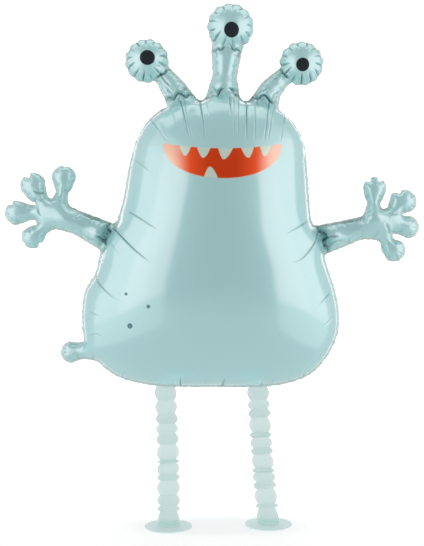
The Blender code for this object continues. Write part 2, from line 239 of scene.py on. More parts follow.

# Creases that the photo shows: points from the seam inwards, depth, half width, strength of the painted
# shade in the valley
CREASES = (
    (((-200, 604), (-193, 592), (-181, 583), (-144, 549), (-111, 524.5)), 3.6, 1.9, 1.0),
    (((-158, 622), (-133.5, 607.6), (-96.3, 583.8)), 1.8, 1.7, 0.7),
    (((-196, 566), (-186, 551), (-172, 541)), 0.9, 1.8, 0.3),
    (((-231, 506), (-226, 496), (-215.7, 482.9), (-193.4, 464.3), (-169.1, 449.6)), 2.4, 1.9, 0.7),
    (((-162, 736), (-148.7, 725.1), (-107.5, 690.8)), 1.2, 2.0, 0.3),
    (((-128, 830), (-118.7, 804.8), (-83.4, 754.3)), 2.2, 1.8, 0.6),
    (((212, 606), (212, 590), (201.9, 570.1), (184, 547), (165.5, 530.5), (146, 524)), 3.2, 1.9, 0.9),
    (((193, 614), (178.8, 602.1), (134.4, 576.9)), 1.8, 1.7, 0.6),
    (((228, 466), (215.1, 454.1), (202.1, 443.1)), 1.8, 1.8, 0.6),
    (((194, 722), (185.9, 711.9), (163.5, 692.6)), 1.1, 1.8, 0.2),
    (((-66, 850), (-61.2, 840), (-52, 800), (-41, 756)), 2.6, 1.9, 0.8),
    (((-54, 846), (-50, 815), (-35.6, 752)), 1.5, 1.6, 0.4),
    (((-24.6, 848), (-20, 815), (-11.2, 752)), 2.6, 1.9, 0.8),
    (((-12, 852), (-8, 820), (-2, 800)), 1.2, 1.7, 0.3),
    (((34.8, 850), (35.2, 825), (36.1, 800)), 2.6, 1.8, 0.9),
    (((42.6, 846), (41.2, 753)), 1.5, 1.5, 0.3),
    (((51.1, 842), (48.7, 753)), 1.5, 1.5, 0.3),
    (((67.0, 848), (66.2, 810), (64.5, 752)), 2.8, 1.9, 0.9),
    (((90.0, 848), (89.0, 826)), 2.0, 1.8, 0.7),
    (((84.0, 830), (80.0, 756)), 1.3, 1.6, 0.3),
    (((112.4, 842), (106, 800), (98.2, 754)), 2.2, 1.8, 0.7),
    (((124, 836), (112, 790), (106, 756)), 1.6, 1.5, 0.4),
    (((146, 830), (138, 790), (129.8, 756)), 1.6, 1.7, 0.4),
    (((174, 812), (168, 798), (163, 786)), 1.8, 1.7, 0.6),
    (((-84, 842), (-76, 812), (-64, 776)), 1.2, 1.8, 0.2),
    (((-63, 282.0), (-61, 296), (-59.6, 306)), 2.6, 2.4, 1.0),
    (((20, 282.0), (23, 296), (25.0, 306)), 2.6, 2.4, 1.0),
    (((118, 282.0), (118.0, 304.8)), 1.6, 1.6, 0.5),
    (((-236, 430), (-226, 426), (-214, 424)), 1.2, 2.0, 0.3),
    (((-238, 384), (-224, 388), (-206, 380)), 1.1, 2.0, 0.2),
    (((236, 420), (224, 410), (212, 404)), 1.1, 2.0, 0.2),
)

# Folds and painted shade where the limbs are pinched: points, depth, half width, strength of the painted
# shade; rows of depth 0 are painted shade alone
ROOT_FOLDS = (
    (((-197, 616), (-206, 600), (-202, 584), (-212, 570), (-209, 558), (-222, 545)), 8.0, 3.4, 1.0),
    (((-206, 604), (-222, 610), (-244, 618), (-268, 630), (-286, 641)), 4.5, 2.4, 0.6),
    (((-210, 566), (-218, 574), (-228, 578)), 4.0, 2.8, 0.6),
    (((-212, 556), (-226, 566), (-246, 574)), 3.0, 2.8, 0.3),
    (((209, 608), (213, 592), (224, 580), (221, 566), (230, 553), (232, 541)), 8.0, 3.4, 1.0),
    (((214, 596), (232, 602), (262, 607), (290, 611), (304, 617)), 4.5, 2.4, 0.6),
    (((222, 572), (234, 578), (246, 578)), 4.0, 2.8, 0.6),
    (((226, 556), (240, 566), (256, 570)), 3.0, 2.8, 0.3),
    (((-96, 842), (-90, 854), (-76, 850), (-66, 861), (-50, 854), (-41, 863), (-27, 852)), 7.0, 2.8, 1.0),
    (((-76, 850), (-83, 863), (-92, 870)), 3.5, 2.2, 0.6),
    (((-62, 858), (-54, 868), (-52, 880)), 3.5, 2.4, 0.6),
    (((-82, 852), (-86, 866), (-94, 876)), 3.5, 2.6, 0.5),
    (((-14, 857), (-6, 851), (3, 858), (9, 855), (16, 866), (24, 869)), 7.0, 2.8, 1.0),
    (((36, 870), (42, 868), (45, 859), (51, 861), (56, 852), (61, 852)), 7.0, 2.8, 1.0),
    (((14, 862), (4, 868), (-2, 880)), 2.5, 2.4, 0.3),
    (((65, 852), (76, 860), (90, 851), (102, 858), (116, 845), (132, 838)), 7.0, 2.8, 1.0),
    (((84, 856), (98, 866), (112, 872)), 3.5, 2.6, 0.6),
    (((116, 846), (124, 858), (134, 866)), 3.0, 2.6, 0.4),
    (((-112, 893), (-102, 900), (-94, 904), (-88, 915)), 5.0, 2.6, 1.0),
    (((-100, 900), (-94, 888), (-84, 878)), 3.0, 2.6, 0.5),
    (((-1, 955), (5, 949), (12, 953), (18, 949), (26, 957)), 5.5, 2.4, 1.0),
    (((5, 949), (9, 942), (8, 934)), 3.0, 2.0, 0.6),
    (((62, 955), (56, 949), (50, 952), (44, 949), (37, 957)), 5.5, 2.4, 1.0),
    (((56, 949), (53, 941), (56, 932)), 3.0, 2.0, 0.6),
    (((134, 918), (140, 906), (144, 900), (152, 893)), 5.0, 2.6, 1.0),
    (((140, 905), (130, 894), (122, 888)), 3.0, 2.6, 0.5),
    (((-353, 668), (-340, 664), (-330, 668)), 3.0, 2.4, 0.6),
    (((-322, 672), (-316, 662), (-318, 650)), 2.2, 2.6, 0.3),
    (((-346, 640), (-344, 628), (-338, 618)), 2.5, 2.4, 0.3),
    (((-350, 654), (-342, 650), (-336, 652)), 2.5, 2.4, 0.5),
    (((342, 634), (350, 640), (356, 646)), 2.8, 2.4, 0.5),
    (((350, 622), (360, 622), (372, 626)), 2.4, 2.4, 0.3),
    (((344, 602), (350, 592), (352, 584)), 2.4, 2.4, 0.4),
    (((-246, 374), (-252, 364), (-258, 352)), 1.6, 2.6, 0.2),
    (((-212, 604), (-216, 580), (-226, 556)), 0.0, 10.0, 0.4),
    (((220, 600), (228, 576), (234, 550)), 0.0, 10.0, 0.4),
    (((-92, 852), (-62, 864), (-32, 858)), 0.0, 8.0, 0.35),
    (((-6, 858), (6, 866), (16, 868)), 0.0, 7.0, 0.35),
    (((46, 872), (54, 864), (58, 854)), 0.0, 7.0, 0.35),
    (((74, 852), (90, 854), (104, 850)), 0.0, 8.0, 0.35),
    (((118, 852), (128, 846)), 0.0, 7.0, 0.35),
    (((-32, 852), (-20, 846), (-8, 852)), 0.0, 5.0, 0.6),
    (((61, 851), (72, 845), (83, 851)), 0.0, 5.0, 0.6),
    (((-112, 892), (-96, 900), (-84, 914)), 0.0, 6.0, 0.35),
    (((134, 930), (138, 910), (148, 896)), 0.0, 6.0, 0.35),
)

# Fold lines of each leg from the hem down: height at the left edge, height at the right edge
LEG_FOLDS = {
    "left": (
        (250, 250), (225, 228), (203, 204), (184.6, 187.4), (161, 163.4), (132.5, 135.5),
        (124.5, 126), (105, 107), (90, 92), (65, 66), (40.5, 40), (31.2, 32),
    ),
    "right": (
        (250, 252), (233, 236), (214, 216), (188, 188), (174, 176), (156, 158), (140, 141.4),
        (116, 115.4), (104, 105), (88, 89.6), (70, 73.4), (44, 45), (33.6, 35),
    ),
}
# Each leg: x at the hem, x and y of its foot, how far it sways to the right between them
LEG_LINES = {"left": (-94.0, -86.5, -8.0, 2.5), "right": (91.5, 113.5, 8.0, -2.0)}
HEM_Z = 281.0
BEHIND_FLANGE = 1.15
LEG_FOLD_HALF_WIDTH = 16.2
LEG_LOBE_HALF_WIDTH = 22.3
LOBE_POWER = 0.8
PANEL_SHARES = (0.06, 0.16, 0.28, 0.4, 0.5, 0.6, 0.72, 0.84, 0.94, 1.0)
HEM_OVERLAP = 4.0
PAPER_HALF_THICKNESS = 0.25
FOLD_DEPTH_SHARES = (0.75, 1.0)
LAST_FOLD_SHARE = 0.25
FOOT_TOP = 3.2
FOOT_CLEARANCE = 0.3
LEG_BOTTOM = FOOT_TOP + FOOT_CLEARANCE + PAPER_HALF_THICKNESS
LEG_CREASE_ANGLE = 40.0

# The flap at the end of each leg that is glued on the foot
TAB_LENGTH = 24.0
TAB_BACK_SHARE = 0.35
TAB_TAPER = 0.9
TAB_STEPS = 8

# Where the paper's painted shade and light change: its scalloped edges, which get a greyer painted shade,
# and the height that the glued flap's painted light ends at
LOBE_START = 16.5
LOBE_SOFTNESS = 1.0
TAB_CLEAR = 8.0
TAB_SOFTNESS = 2.0

# Grain of paper and card, and how far light travels in the leg paper, in metres
GRAIN_SCALE = 900.0
GRAIN_STRENGTH = 0.15
GRAIN_DEPTH = 0.0003
LEG_ROUGHNESS = 0.7
FOOT_ROUGHNESS = 0.6
LIGHT_TRAVEL = 0.006

# The printed mouth, and how far from its middle its red turns to painted light and then to a pale painted
# highlight, in millimetres
MOUTH_MIDDLE = 20.2
MOUTH_HALF_WIDTH = 111.6
MOUTH_CORNER_Z = 751.0
MOUTH_DEPTH = 69.5
MOUTH_ROUNDNESS = 2.1
MOUTH_TOP_SAG = 12.6
MOUTH_LIT_FROM = 20.0
MOUTH_LIT_TO = 76.0
MOUTH_HIGHLIGHT_FROM = 58.0
MOUTH_HIGHLIGHT_TO = 100.0
# Teeth: left end, tip and right end in x, then the tip's height, and the lower one's base
TOP_TEETH = (
    (-62.1, -50.5, -39.4, 724.7),
    (-28.1, -16.7, -2.8, 719.8),
    (11.2, 21.4, 39.2, 716.8),
    (54.2, 68.1, 78.8, 720.6),
    (90.3, 98.7, 113.7, 724.9),
)
LOWER_TOOTH = (-14.8, -3.7, 11.1, 703.4, 682.9)
TOOTH_CURVE = 1.85
# Printed discs: middle x, middle z, radius
PUPILS = ((-127.4, 930.6, 14.9), (38.4, 985.0, 14.8), (178.7, 916.8, 13.0))
SPOTS = ((-161.1, 466.7, 3.1), (-118.2, 443.8, 3.6), (-154.0, 406.5, 5.2))
VALVE_SPOT = (-286.3, 344.9, 2.6)
VALVE_COLOUR = (0.8, 0.85, 0.8)
PRINT_SOFTNESS = 0.35
DISC_SOFTNESS = 0.4
FRONT_SOFTNESS = 0.5

# The floor in metres: half width, front and back ends, colour
FLOOR_HALF_WIDTH = 3.0
FLOOR_FRONT = -0.15
FLOOR_BACK = 0.5
FLOOR_COLOUR = (0.9, 0.9, 0.9)
FLOOR_ROUGHNESS = 0.8
# Its painted shadow: middle in x, reach in x and in y, and the square of the reach up to which it is
# deepest
FLOOR_SHADE = (0.013, 0.24, 0.08)
DEEPEST_SHADE = 0.1

# Lights beside the figure, in metres: name, side, place, aim, width, share of that side's brightness
SIDE_LIGHT_HEIGHT = 2.3
SIDE_LIGHTS = (
    ("left front light", "left", (-1.67, -1.63, 1.15), (0.33, -0.7, 1.15), 1.55, 1.42),
    ("left rear light", "left", (-2.33, -0.23, 1.15), (-0.33, 0.7, 1.15), 1.55, 0.97),
    ("right front light", "right", (1.93, -1.25, 1.15), (-0.18, -0.64, 1.15), 1.325, 1.36),
    ("right rear light", "right", (2.29, 0.03, 1.15), (0.18, 0.64, 1.15), 1.325, 1.13),
)
# Lights below and above them, in metres, aimed at the middle: side, place in x and y, width
OUTER_LIGHTS = (("left", -2.0, -0.93, 3.1), ("right", 2.11, -0.61, 2.65))
LOW_LIGHT_Z = -0.55
LOW_LIGHT_HEIGHT = 1.1
HIGH_LIGHT_Z = 2.75
HIGH_LIGHT_HEIGHT = 0.9
# The light over the figure, in metres: place, aim, width, height
TOP_LIGHT = ((0, 0.35, 2.2), (0, 0.2, 0.4), 2.4, 1.1)

# Where the room's light changes along y, from the front to straight behind, and along z
FRONT_TO_SIDES = (-0.84, -0.62)
SIDES_TO_BACK = (0.2, 0.7)
BACK_TO_BACKDROP = (0.8, 0.92)
SIDES_TO_ABOVE = (0.5, 0.85)
SIDES_TO_BELOW = (-0.15, -0.5)

SENSOR_WIDTH = 36.0


def add_mesh(name, points, faces):
    """A smooth-shaded mesh object from points in metres."""
    mesh = bpy.data.meshes.new(name)
    mesh.from_pydata([tuple(p) for p in points], [], [tuple(f) for f in faces])
    mesh.validate()
    mesh.shade_smooth()
    made = bpy.data.objects.new(name, mesh)
    bpy.context.scene.collection.objects.link(made)
    return made


def mark_points(made, marks):
    """Stores a number for each point of a mesh under each name."""
    for name, values in marks.items():
        attribute = made.data.attributes.new(name, "FLOAT", "POINT")
        attribute.data.foreach_set("value", values.astype(np.float32))


def rim_outline(node):
    """The outer edge of the CAD flange as a closed loop of x and z in millimetres."""
    mesh = node.data
    links = {}
    for polygon in mesh.polygons:
        corners = [mesh.vertices[i].co for i in polygon.vertices]
        if abs(polygon.normal.y) > 0.5 or max(abs(c.y) for c in corners) > MM:
            continue
        ends = sorted({(round(c.x, NODE_DIGITS), round(c.z, NODE_DIGITS)) for c in corners})
        if len(ends) == 2:
            links.setdefault(ends[0], set()).add(ends[1])
            links.setdefault(ends[1], set()).add(ends[0])
    start = min(links)
    loop = [start]
    here, before = sorted(links[start])[0], start
    while here != start:
        loop.append(here)
        onward = [p for p in links[here] if p != before]
        here, before = onward[0], here
    loop = np.array(loop) / MM
    area = np.sum(loop[:, 0] * np.roll(loop[:, 1], -1) - np.roll(loop[:, 0], -1) * loop[:, 1])
    return loop if area > 0 else loop[::-1].copy()


def smooth_loop(loop, step):
    """A curve through the loop's points, with new points at an even step."""
    ahead, behind = np.roll(loop, -1, 0), np.roll(loop, 1, 0)
    length = np.linalg.norm(ahead - loop, axis=1)
    length_behind = np.roll(length, 1)
    slope = (ahead - behind) / (length + length_behind)[:, None]
    fine = []
    stretch = length[:, None]
    for share in np.arange(CURVE_PIECES) / CURVE_PIECES:
        start = 2 * share**3 - 3 * share**2 + 1
        start_slope = share**3 - 2 * share**2 + share
        end = -2 * share**3 + 3 * share**2
        end_slope = share**3 - share**2
        first_half = start * loop + start_slope * stretch * slope
        fine.append(first_half + end * ahead + end_slope * stretch * np.roll(slope, -1, 0))
    fine = np.stack(fine, 1).reshape(-1, 2)
    closed = np.vstack((fine, fine[:1]))
    travelled = np.concatenate(([0], np.cumsum(np.linalg.norm(np.diff(closed, axis=0), axis=1))))
    count = int(round(travelled[-1] / step))
    wanted = np.arange(count) * travelled[-1] / count
    return np.column_stack([np.interp(wanted, travelled, closed[:, n]) for n in (0, 1)])


def spread(values, reach):
    """Values round a loop, averaged with their neighbours."""
    total = sum(np.roll(values, n, 0) * (reach + 1 - abs(n)) for n in range(-reach, reach + 1))
    return total / (reach + 1) ** 2


def inward_normals(loop, reach):
    """Directions square to a loop that point into it."""
    along = spread(np.roll(loop, -1, 0) - np.roll(loop, 1, 0), reach)
    normal = np.column_stack((-along[:, 1], along[:, 0]))
    return normal / np.linalg.norm(normal, axis=1)[:, None]


def room_inside(loop, normal):
    """The radius of the largest ball that touches each point from inside."""
    room = np.empty(len(loop))
    for n, (point, direction) in enumerate(zip(loop, normal)):
        offset = loop - point
        across = offset @ direction
        ahead = across > ROOM_AHEAD
        room[n] = np.min((offset[ahead] ** 2).sum(1) / (2 * across[ahead])) if ahead.any() else ROOM_LIMIT
    lowest = np.min([np.roll(room, n) for n in range(-ROOM_NEIGHBOURS, ROOM_NEIGHBOURS + 1)], 0)
    return spread(np.minimum(lowest, ROOM_LIMIT), ROOM_SPREAD)


def inside_rows(loop, step):
    """Points of a triangular lattice that are inside a loop."""
    low, high = loop.min(0), loop.max(0)
    ahead = np.roll(loop, -1, 0)
    kept = []
    for row, z in enumerate(np.arange(low[1] + step / 2, high[1], step * math.sqrt(3) / 2)):
        crossing = (loop[:, 1] > z) != (ahead[:, 1] > z)
        a, b = loop[crossing], ahead[crossing]
        cuts = np.sort(a[:, 0] + (z - a[:, 1]) * (b[:, 0] - a[:, 0]) / (b[:, 1] - a[:, 1]))
        across = np.arange(low[0] + (row % 2) * step / 2, high[0], step)
        inside = np.searchsorted(cuts, across) % 2 == 1
        kept += [(x, z) for x in across[inside]]
    return np.array(kept)


def curve_points(points, step):
    """Points at an even step along a smooth curve through the given ones."""
    points = np.array(points, float)
    if len(points) > 2:
        ends = np.vstack((2 * points[0] - points[1], points, 2 * points[-1] - points[-2]))
        fine = []
        for n in range(1, len(ends) - 2):
            p, q, r, s = ends[n - 1 : n + 3]
            bend = 2 * p - 5 * q + 4 * r - s
            twist = 3 * q - p - 3 * r + s
            for share in np.arange(CURVE_PIECES) / CURVE_PIECES:
                fine.append(0.5 * (2 * q + (r - p) * share + bend * share**2 + twist * share**3))
        fine.append(points[-1])
        points = np.array(fine)
    travelled = np.concatenate(([0], np.cumsum(np.linalg.norm(np.diff(points, axis=0), axis=1))))
    count = max(int(round(travelled[-1] / step)), 1)
    wanted = np.linspace(0, travelled[-1], count + 1)
    return np.column_stack([np.interp(wanted, travelled, points[:, n]) for n in (0, 1)])


def near_curve(points, curve):
    """For each point its distance from a curve and its share of the way along it."""
    best = np.full(len(points), np.inf)
    place = np.zeros(len(points))
    lengths = np.linalg.norm(np.diff(curve, axis=0), axis=1)
    travelled = np.concatenate(([0], np.cumsum(lengths)))
    for n, (start, end) in enumerate(zip(curve, curve[1:])):
        along = end - start
        share = np.clip(((points - start) @ along) / (along @ along), 0, 1)
        gap = np.linalg.norm(points - start - share[:, None] * along, axis=1)
        closer = gap < best
        best[closer] = gap[closer]
        place[closer] = (travelled[n] + share * lengths[n])[closer] / travelled[-1]
    return best, place


def fold_depths(points, folds):
    """How far folds push each point in, and how much painted shade they lay on it."""
    depth, dark = np.zeros(len(points)), np.zeros(len(points))
    for route, deep, half_width, shade_strength, fade in folds:
        curve = curve_points(route, FOLD_STEP)
        reach = FOLD_REACH * half_width
        low, high = curve.min(0) - reach, curve.max(0) + reach
        nearby = np.flatnonzero(((points > low) & (points < high)).all(1))
        if not len(nearby):
            continue
        gap, place = near_curve(points[nearby], curve)
        gap = gap / half_width
        if fade == "inwards":
            strength = np.clip((1 - place) * CREASE_START, 0, 1) ** CREASE_FADE
        else:
            strength = np.clip(np.minimum(place, 1 - place) * FOLD_END_FADE + FOLD_END_STRENGTH, 0, 1)
        lip = LIP_HEIGHT * np.exp(-(((gap - LIP_PLACE) / LIP_WIDTH) ** 2))
        depth[nearby] += deep * strength * (np.exp(-VALLEY_STEEPNESS * gap) - lip)
        shade = shade_strength * strength * np.exp(-((gap / SHADE_WIDTH) ** 2))
        dark[nearby] = np.maximum(dark[nearby], shade)
    return depth, dark


def eye_creases():
    """Short creases from the notches between an eye's petals towards its middle."""
    folds = []
    shuffle = random.Random(EYE_SEED)
    for x, z, radius, turn in EYES:
        for n in range(EYE_PETALS):
            angle = math.radians(turn) + 2 * math.pi * n / EYE_PETALS
            end = radius * shuffle.uniform(*EYE_CREASE_END)
            way = np.array((math.cos(angle), math.sin(angle)))
            lean = np.array((-way[1], way[0])) * shuffle.uniform(*EYE_CREASE_LEAN)
            stops = ((radius - EYE_CREASE_EDGE, 0), ((radius + end) / 2, EYE_CREASE_BEND), (end, 1))
            route = [np.array((x, z)) + way * reach + lean * share for reach, share in stops]
            deep = shuffle.uniform(*EYE_CREASE_DEPTH)
            shade_strength = shuffle.uniform(*EYE_CREASE_SHADE)
            folds.append((route, deep, EYE_CREASE_HALF_WIDTH, shade_strength, "inwards"))
    return folds


def seam_puckers(seam, normal, room):
    """Short creases square to the seam, closer together where the envelope is narrow."""
    shuffle = random.Random(PUCKER_SEED)
    folds = []
    travelled = 0.0
    wanted = FIRST_PUCKER
    for n in range(len(seam)):
        travelled += RIM_STEP
        if travelled < wanted:
            continue
        travelled = 0.0
        x, z = seam[n]
        if any(math.hypot(x - eye[0], z - eye[1]) < eye[2] + PUCKER_EYE_CLEARANCE for eye in EYES):
            wanted = PUCKER_AFTER_EYE
            continue
        spacing, depths = NARROW_PUCKERS if room[n] < NARROW_ROOM else WIDE_PUCKERS
        wanted = shuffle.uniform(*spacing)
        length = min(shuffle.uniform(*PUCKER_LENGTH), room[n] * PUCKER_ROOM_SHARE)
        lean = shuffle.uniform(*PUCKER_LEAN)
        way = normal[n] + lean * np.array((-normal[n][1], normal[n][0]))
        deep = shuffle.uniform(*depths)
        half_width = shuffle.uniform(*PUCKER_HALF_WIDTH)
        shade_strength = shuffle.uniform(*PUCKER_SHADE)
        folds.append(([seam[n], seam[n] + way * length], deep, half_width, shade_strength, "inwards"))
    return folds


def gas_heights(points, triangles, free):
    """Half thickness of the filled envelope: the root of a membrane's height under an even load."""
    corners = points[triangles]
    edges = [corners[:, (n + 2) % 3] - corners[:, (n + 1) % 3] for n in range(3)]
    doubled_area = np.abs(edges[0][:, 0] * edges[1][:, 1] - edges[0][:, 1] * edges[1][:, 0])
    load = np.zeros(len(points))
    first, second, stiffness = [], [], []
    for n in range(3):
        load += np.bincount(triangles[:, n], doubled_area / 6, len(points))
        first.append(triangles[:, (n + 1) % 3])
        second.append(triangles[:, (n + 2) % 3])
        stiffness.append(-(edges[(n + 1) % 3] * edges[(n + 2) % 3]).sum(1) / doubled_area / 2)
    first, second, stiffness = (np.concatenate(v) for v in (first, second, stiffness))
    own = np.bincount(first, stiffness, len(points)) + np.bincount(second, stiffness, len(points))
    own = np.where(own > 0, own, 1)

    def apply(height):
        flow = stiffness * (height[first] - height[second])
        total = np.bincount(first, flow, len(points)) - np.bincount(second, flow, len(points))
        return np.where(free, total, 0)

    height = np.zeros(len(points))
    rest = np.where(free, load, 0)
    scaled = rest / own
    step = scaled.copy()
    power = rest @ scaled
    target = power * SOLVED_SHARE
    while power > target:
        turned = apply(step)
        share = power / (step @ turned)
        height += share * step
        rest -= share * turned
        scaled = rest / own
        fresh = rest @ scaled
        step = scaled + step * (fresh / power)
        power = fresh
    return np.sqrt(np.maximum(2 * height, 0))


def pinch_share(points):
    """The share of the thickness that the welded pinches leave at each point."""
    share = np.ones(len(points))
    for start, end, left in PINCHES:
        gap, _ = near_curve(points, np.array((start, end), float))
        share *= 1 - (1 - left) * np.exp(-((gap / PINCH_REACH) ** 2))
    return share


def vertex_normals(points, triangles):
    """Directions that point out of a sheet, each the mean of the triangles round a point."""
    a, b, c = (points[triangles[:, n]] for n in range(3))
    flat = np.cross(b - a, c - a)
    total = np.zeros_like(points)
    for n in range(3):
        for axis in range(3):
            total[:, axis] += np.bincount(triangles[:, n], flat[:, axis], len(points))
    return total / np.maximum(np.linalg.norm(total, axis=1), SMALLEST_LENGTH)[:, None]


def loop_noise(count, wavelengths, seed):
    """Smooth random values round a loop, about -1 to 1."""
    shuffle = random.Random(seed)
    place = np.arange(count) * RIM_STEP
    total = np.zeros(count)
    whole = count * RIM_STEP
    for length in wavelengths:
        turns = round(whole / length)
        groups = round(turns / WAVE_GROUP)
        group = np.sin(2 * math.pi * place * groups / whole + shuffle.uniform(*PHASES))
        wave = np.sin(2 * math.pi * place * turns / whole + shuffle.uniform(*PHASES))
        total += (GROUP_MIDDLE + GROUP_CHANGE * group) * wave
    return total / len(wavelengths)


def sheet_swell(points):
    """Slow random swells over the sheets, about -1 to 1."""
    shuffle = random.Random(SHEET_SEED)
    total = np.zeros(len(points))
    for _ in range(SHEET_WAVES):
        turn = shuffle.uniform(0, math.pi)
        length = shuffle.uniform(*SHEET_WAVELENGTHS)
        way = np.array((math.cos(turn), math.sin(turn))) * 2 * math.pi / length
        total += np.sin(points @ way + shuffle.uniform(*PHASES))
    return total / 3


def crumples(points, height):
    """Depth of the sharp facets where the limbs are pinched, and the painted shade in their valleys."""
    near = np.zeros(len(points))
    for start, end, _ in PINCHES:
        gap, _ = near_curve(points, np.array((start, end), float))
        near = np.maximum(near, np.exp(-((gap / CRUMPLE_REACH) ** 2)))
    limb = np.clip(1 - height / LIMB_THICKNESS, 0, 1) * np.clip(height / LIMB_EDGE - 0.5, 0, 1)
    strength = np.maximum(near, LIMB_CRUMPLE) * limb
    depth, dark = np.zeros(len(points)), np.zeros(len(points))
    for n in np.flatnonzero(strength > LEAST_CRUMPLE):
        x, z = points[n] / CRUMPLE_SIZE
        fine = abs(noise.noise((FINE_FACETS * x, FINE_FACET_PLACE, FINE_FACETS * z)))
        ridge = abs(noise.noise((x, 0.0, z))) + FINE_FACET_SHARE * fine
        depth[n] = strength[n] * (FACET_LEVEL - ridge)
        dark[n] = strength[n] * max(0.0, 1 - ridge / FACET_VALLEY)
    return depth, dark


def foil_rings(settings):
    """Rows of points from the welded edge inwards, with their inward direction and the room inside."""
    rim = smooth_loop(rim_outline(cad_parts["foil_envelope"]), RIM_STEP)
    for x, z, shift_x, shift_z, reach in DENTS:
        gap = np.linalg.norm(rim - (x, z), axis=1)
        rim = rim + np.exp(-((gap / reach) ** 2))[:, None] * (shift_x, shift_z)
    rim = smooth_loop(rim, RIM_STEP)
    normal = inward_normals(rim, NORMAL_REACH)
    room = room_inside(rim, normal)
    scallop = loop_noise(len(rim), SCALLOP_WAVELENGTHS, SCALLOP_SEED)
    scallop *= np.clip(room / ROOM_LIMIT + LEAST_SCALLOP, LEAST_SCALLOP, 1.0)
    rim = rim + normal * (scallop * settings.scallop / MM)[:, None]
    flange = np.minimum(settings.flange_width / MM, room * FLANGE_SHARE)
    depth = np.minimum(RING_DEPTH, np.maximum(room * RING_SHARE - flange, LEAST_RING_DEPTH))
    seam = rim + normal * flange[:, None]
    rings = [rim, seam]
    for n in range(1, RING_COUNT + 1):
        rings.append(seam + normal * (depth * (n / RING_COUNT) ** 2)[:, None])
    return rings, normal, room


def is_inside(loop, x, z):
    """Whether a place is inside a loop."""
    ahead = np.roll(loop, -1, 0)
    crossing = (loop[:, 1] > z) != (ahead[:, 1] > z)
    a, b = loop[crossing], ahead[crossing]
    cuts = a[:, 0] + (z - a[:, 1]) * (b[:, 0] - a[:, 0]) / (b[:, 1] - a[:, 1])
    return np.count_nonzero(cuts > x) % 2 == 1


def is_near(cells, x, z, gap):
    """Whether a point in the cells lies closer to a place than the gap."""
    i, j = int(x // CELL), int(z // CELL)
    for across in (-1, 0, 1):
        for up in (-1, 0, 1):
            for other_x, other_z in cells.get((i + across, j + up), ()):
                if (other_x - x) ** 2 + (other_z - z) ** 2 < gap * gap:
                    return True
    return False


def fold_rows(folds):
    """Points along each fold and beside it."""
    rows = []
    for route, _, half_width, _, _ in folds:
        curve = curve_points(route, FOLD_ROW_STEP)
        along = np.gradient(curve, axis=0)
        side = np.column_stack((-along[:, 1], along[:, 0]))
        side /= np.linalg.norm(side, axis=1)[:, None]
        rows += [curve + side * offset * half_width for offset in FOLD_ROW_OFFSETS]
    return np.vstack(rows)


def middle_points(ring, folds):
    """Points inside the last ring: the rows of the folds, and a lattice between them."""
    fixed = KDTree(len(ring))
    for n, (x, z) in enumerate(ring):
        fixed.insert((x, z, 0), n)
    fixed.balance()
    cells = {}
    placed = []
    for x, z in fold_rows(folds):
        clear = fixed.find((x, z, 0))[2] > RING_CLEARANCE and is_inside(ring, x, z)
        if clear and not is_near(cells, x, z, FOLD_ROW_CLEARANCE):
            cells.setdefault((int(x // CELL), int(z // CELL)), []).append((x, z))
            placed.append((x, z))
    for x, z in inside_rows(ring, LATTICE_STEP):
        clear = fixed.find((x, z, 0))[2] > LATTICE_STEP * LATTICE_RING_SHARE
        if clear and not is_near(cells, x, z, LATTICE_CLEARANCE):
            placed.append((x, z))
    return np.array(placed)


def sheet_triangles(rings, middle):
    """Triangles of one sheet: strips between the rings, and the points in the middle joined up."""
    count = len(rings[0])
    index = np.arange(count)
    onward = np.roll(index, -1)
    triangles = []
    for n in range(len(rings) - 1):
        a, b = index + n * count, onward + n * count
        c, d = b + count, a + count
        triangles += [np.column_stack((a, b, c)), np.column_stack((a, c, d))]
    where = np.vstack((rings[-1], middle))
    edge = [(int(i), int(j)) for i, j in zip(index, onward)]
    found = delaunay_2d_cdt([Vector(point) for point in where], edge, [], 0, SAME_PLACE)
    if len(found[0]) != len(where):
        raise RuntimeError("the surface points overlap")
    inner = np.array(found[2])
    a, b, c = (where[inner[:, n]] for n in range(3))
    centre = (a + b + c) / 3
    turned = (b - a)[:, 0] * (c - a)[:, 1] - (b - a)[:, 1] * (c - a)[:, 0]
    kept = np.abs(turned) >= FLAT_TRIANGLE
    for n in np.flatnonzero((inner < count).all(1)):
        kept[n] &= is_inside(rings[-1], *centre[n])
    inner[turned < 0] = inner[turned < 0][:, ::-1]
    triangles.append(inner[kept] + (len(rings) - 1) * count)
    return np.vstack(triangles)


def half_thickness(flat, triangles, free, settings):
    """Half the envelope's thickness at each point, from the gas, the pinches and the swells."""
    height = gas_heights(flat, triangles, free) * settings.fullness * pinch_share(flat)
    height = np.where(free, height, 0) + FLANGE_HALF_THICKNESS
    for x, z, reach, rise in SWELLS:
        gap = np.linalg.norm(flat - (x, z), axis=1)
        swell = rise * np.exp(-((gap / reach) ** 2)) * np.clip(height / SWELL_CLEARANCE, 0, 1)
        height = height + np.where(free, swell, 0)
    return height


def ring_values(shares, count, total):
    """Each ring's share at its points, and 0 in the middle of the sheet."""
    values = np.zeros(total)
    for n, share in enumerate(shares):
        values[n * count : (n + 1) * count] = share
    return values


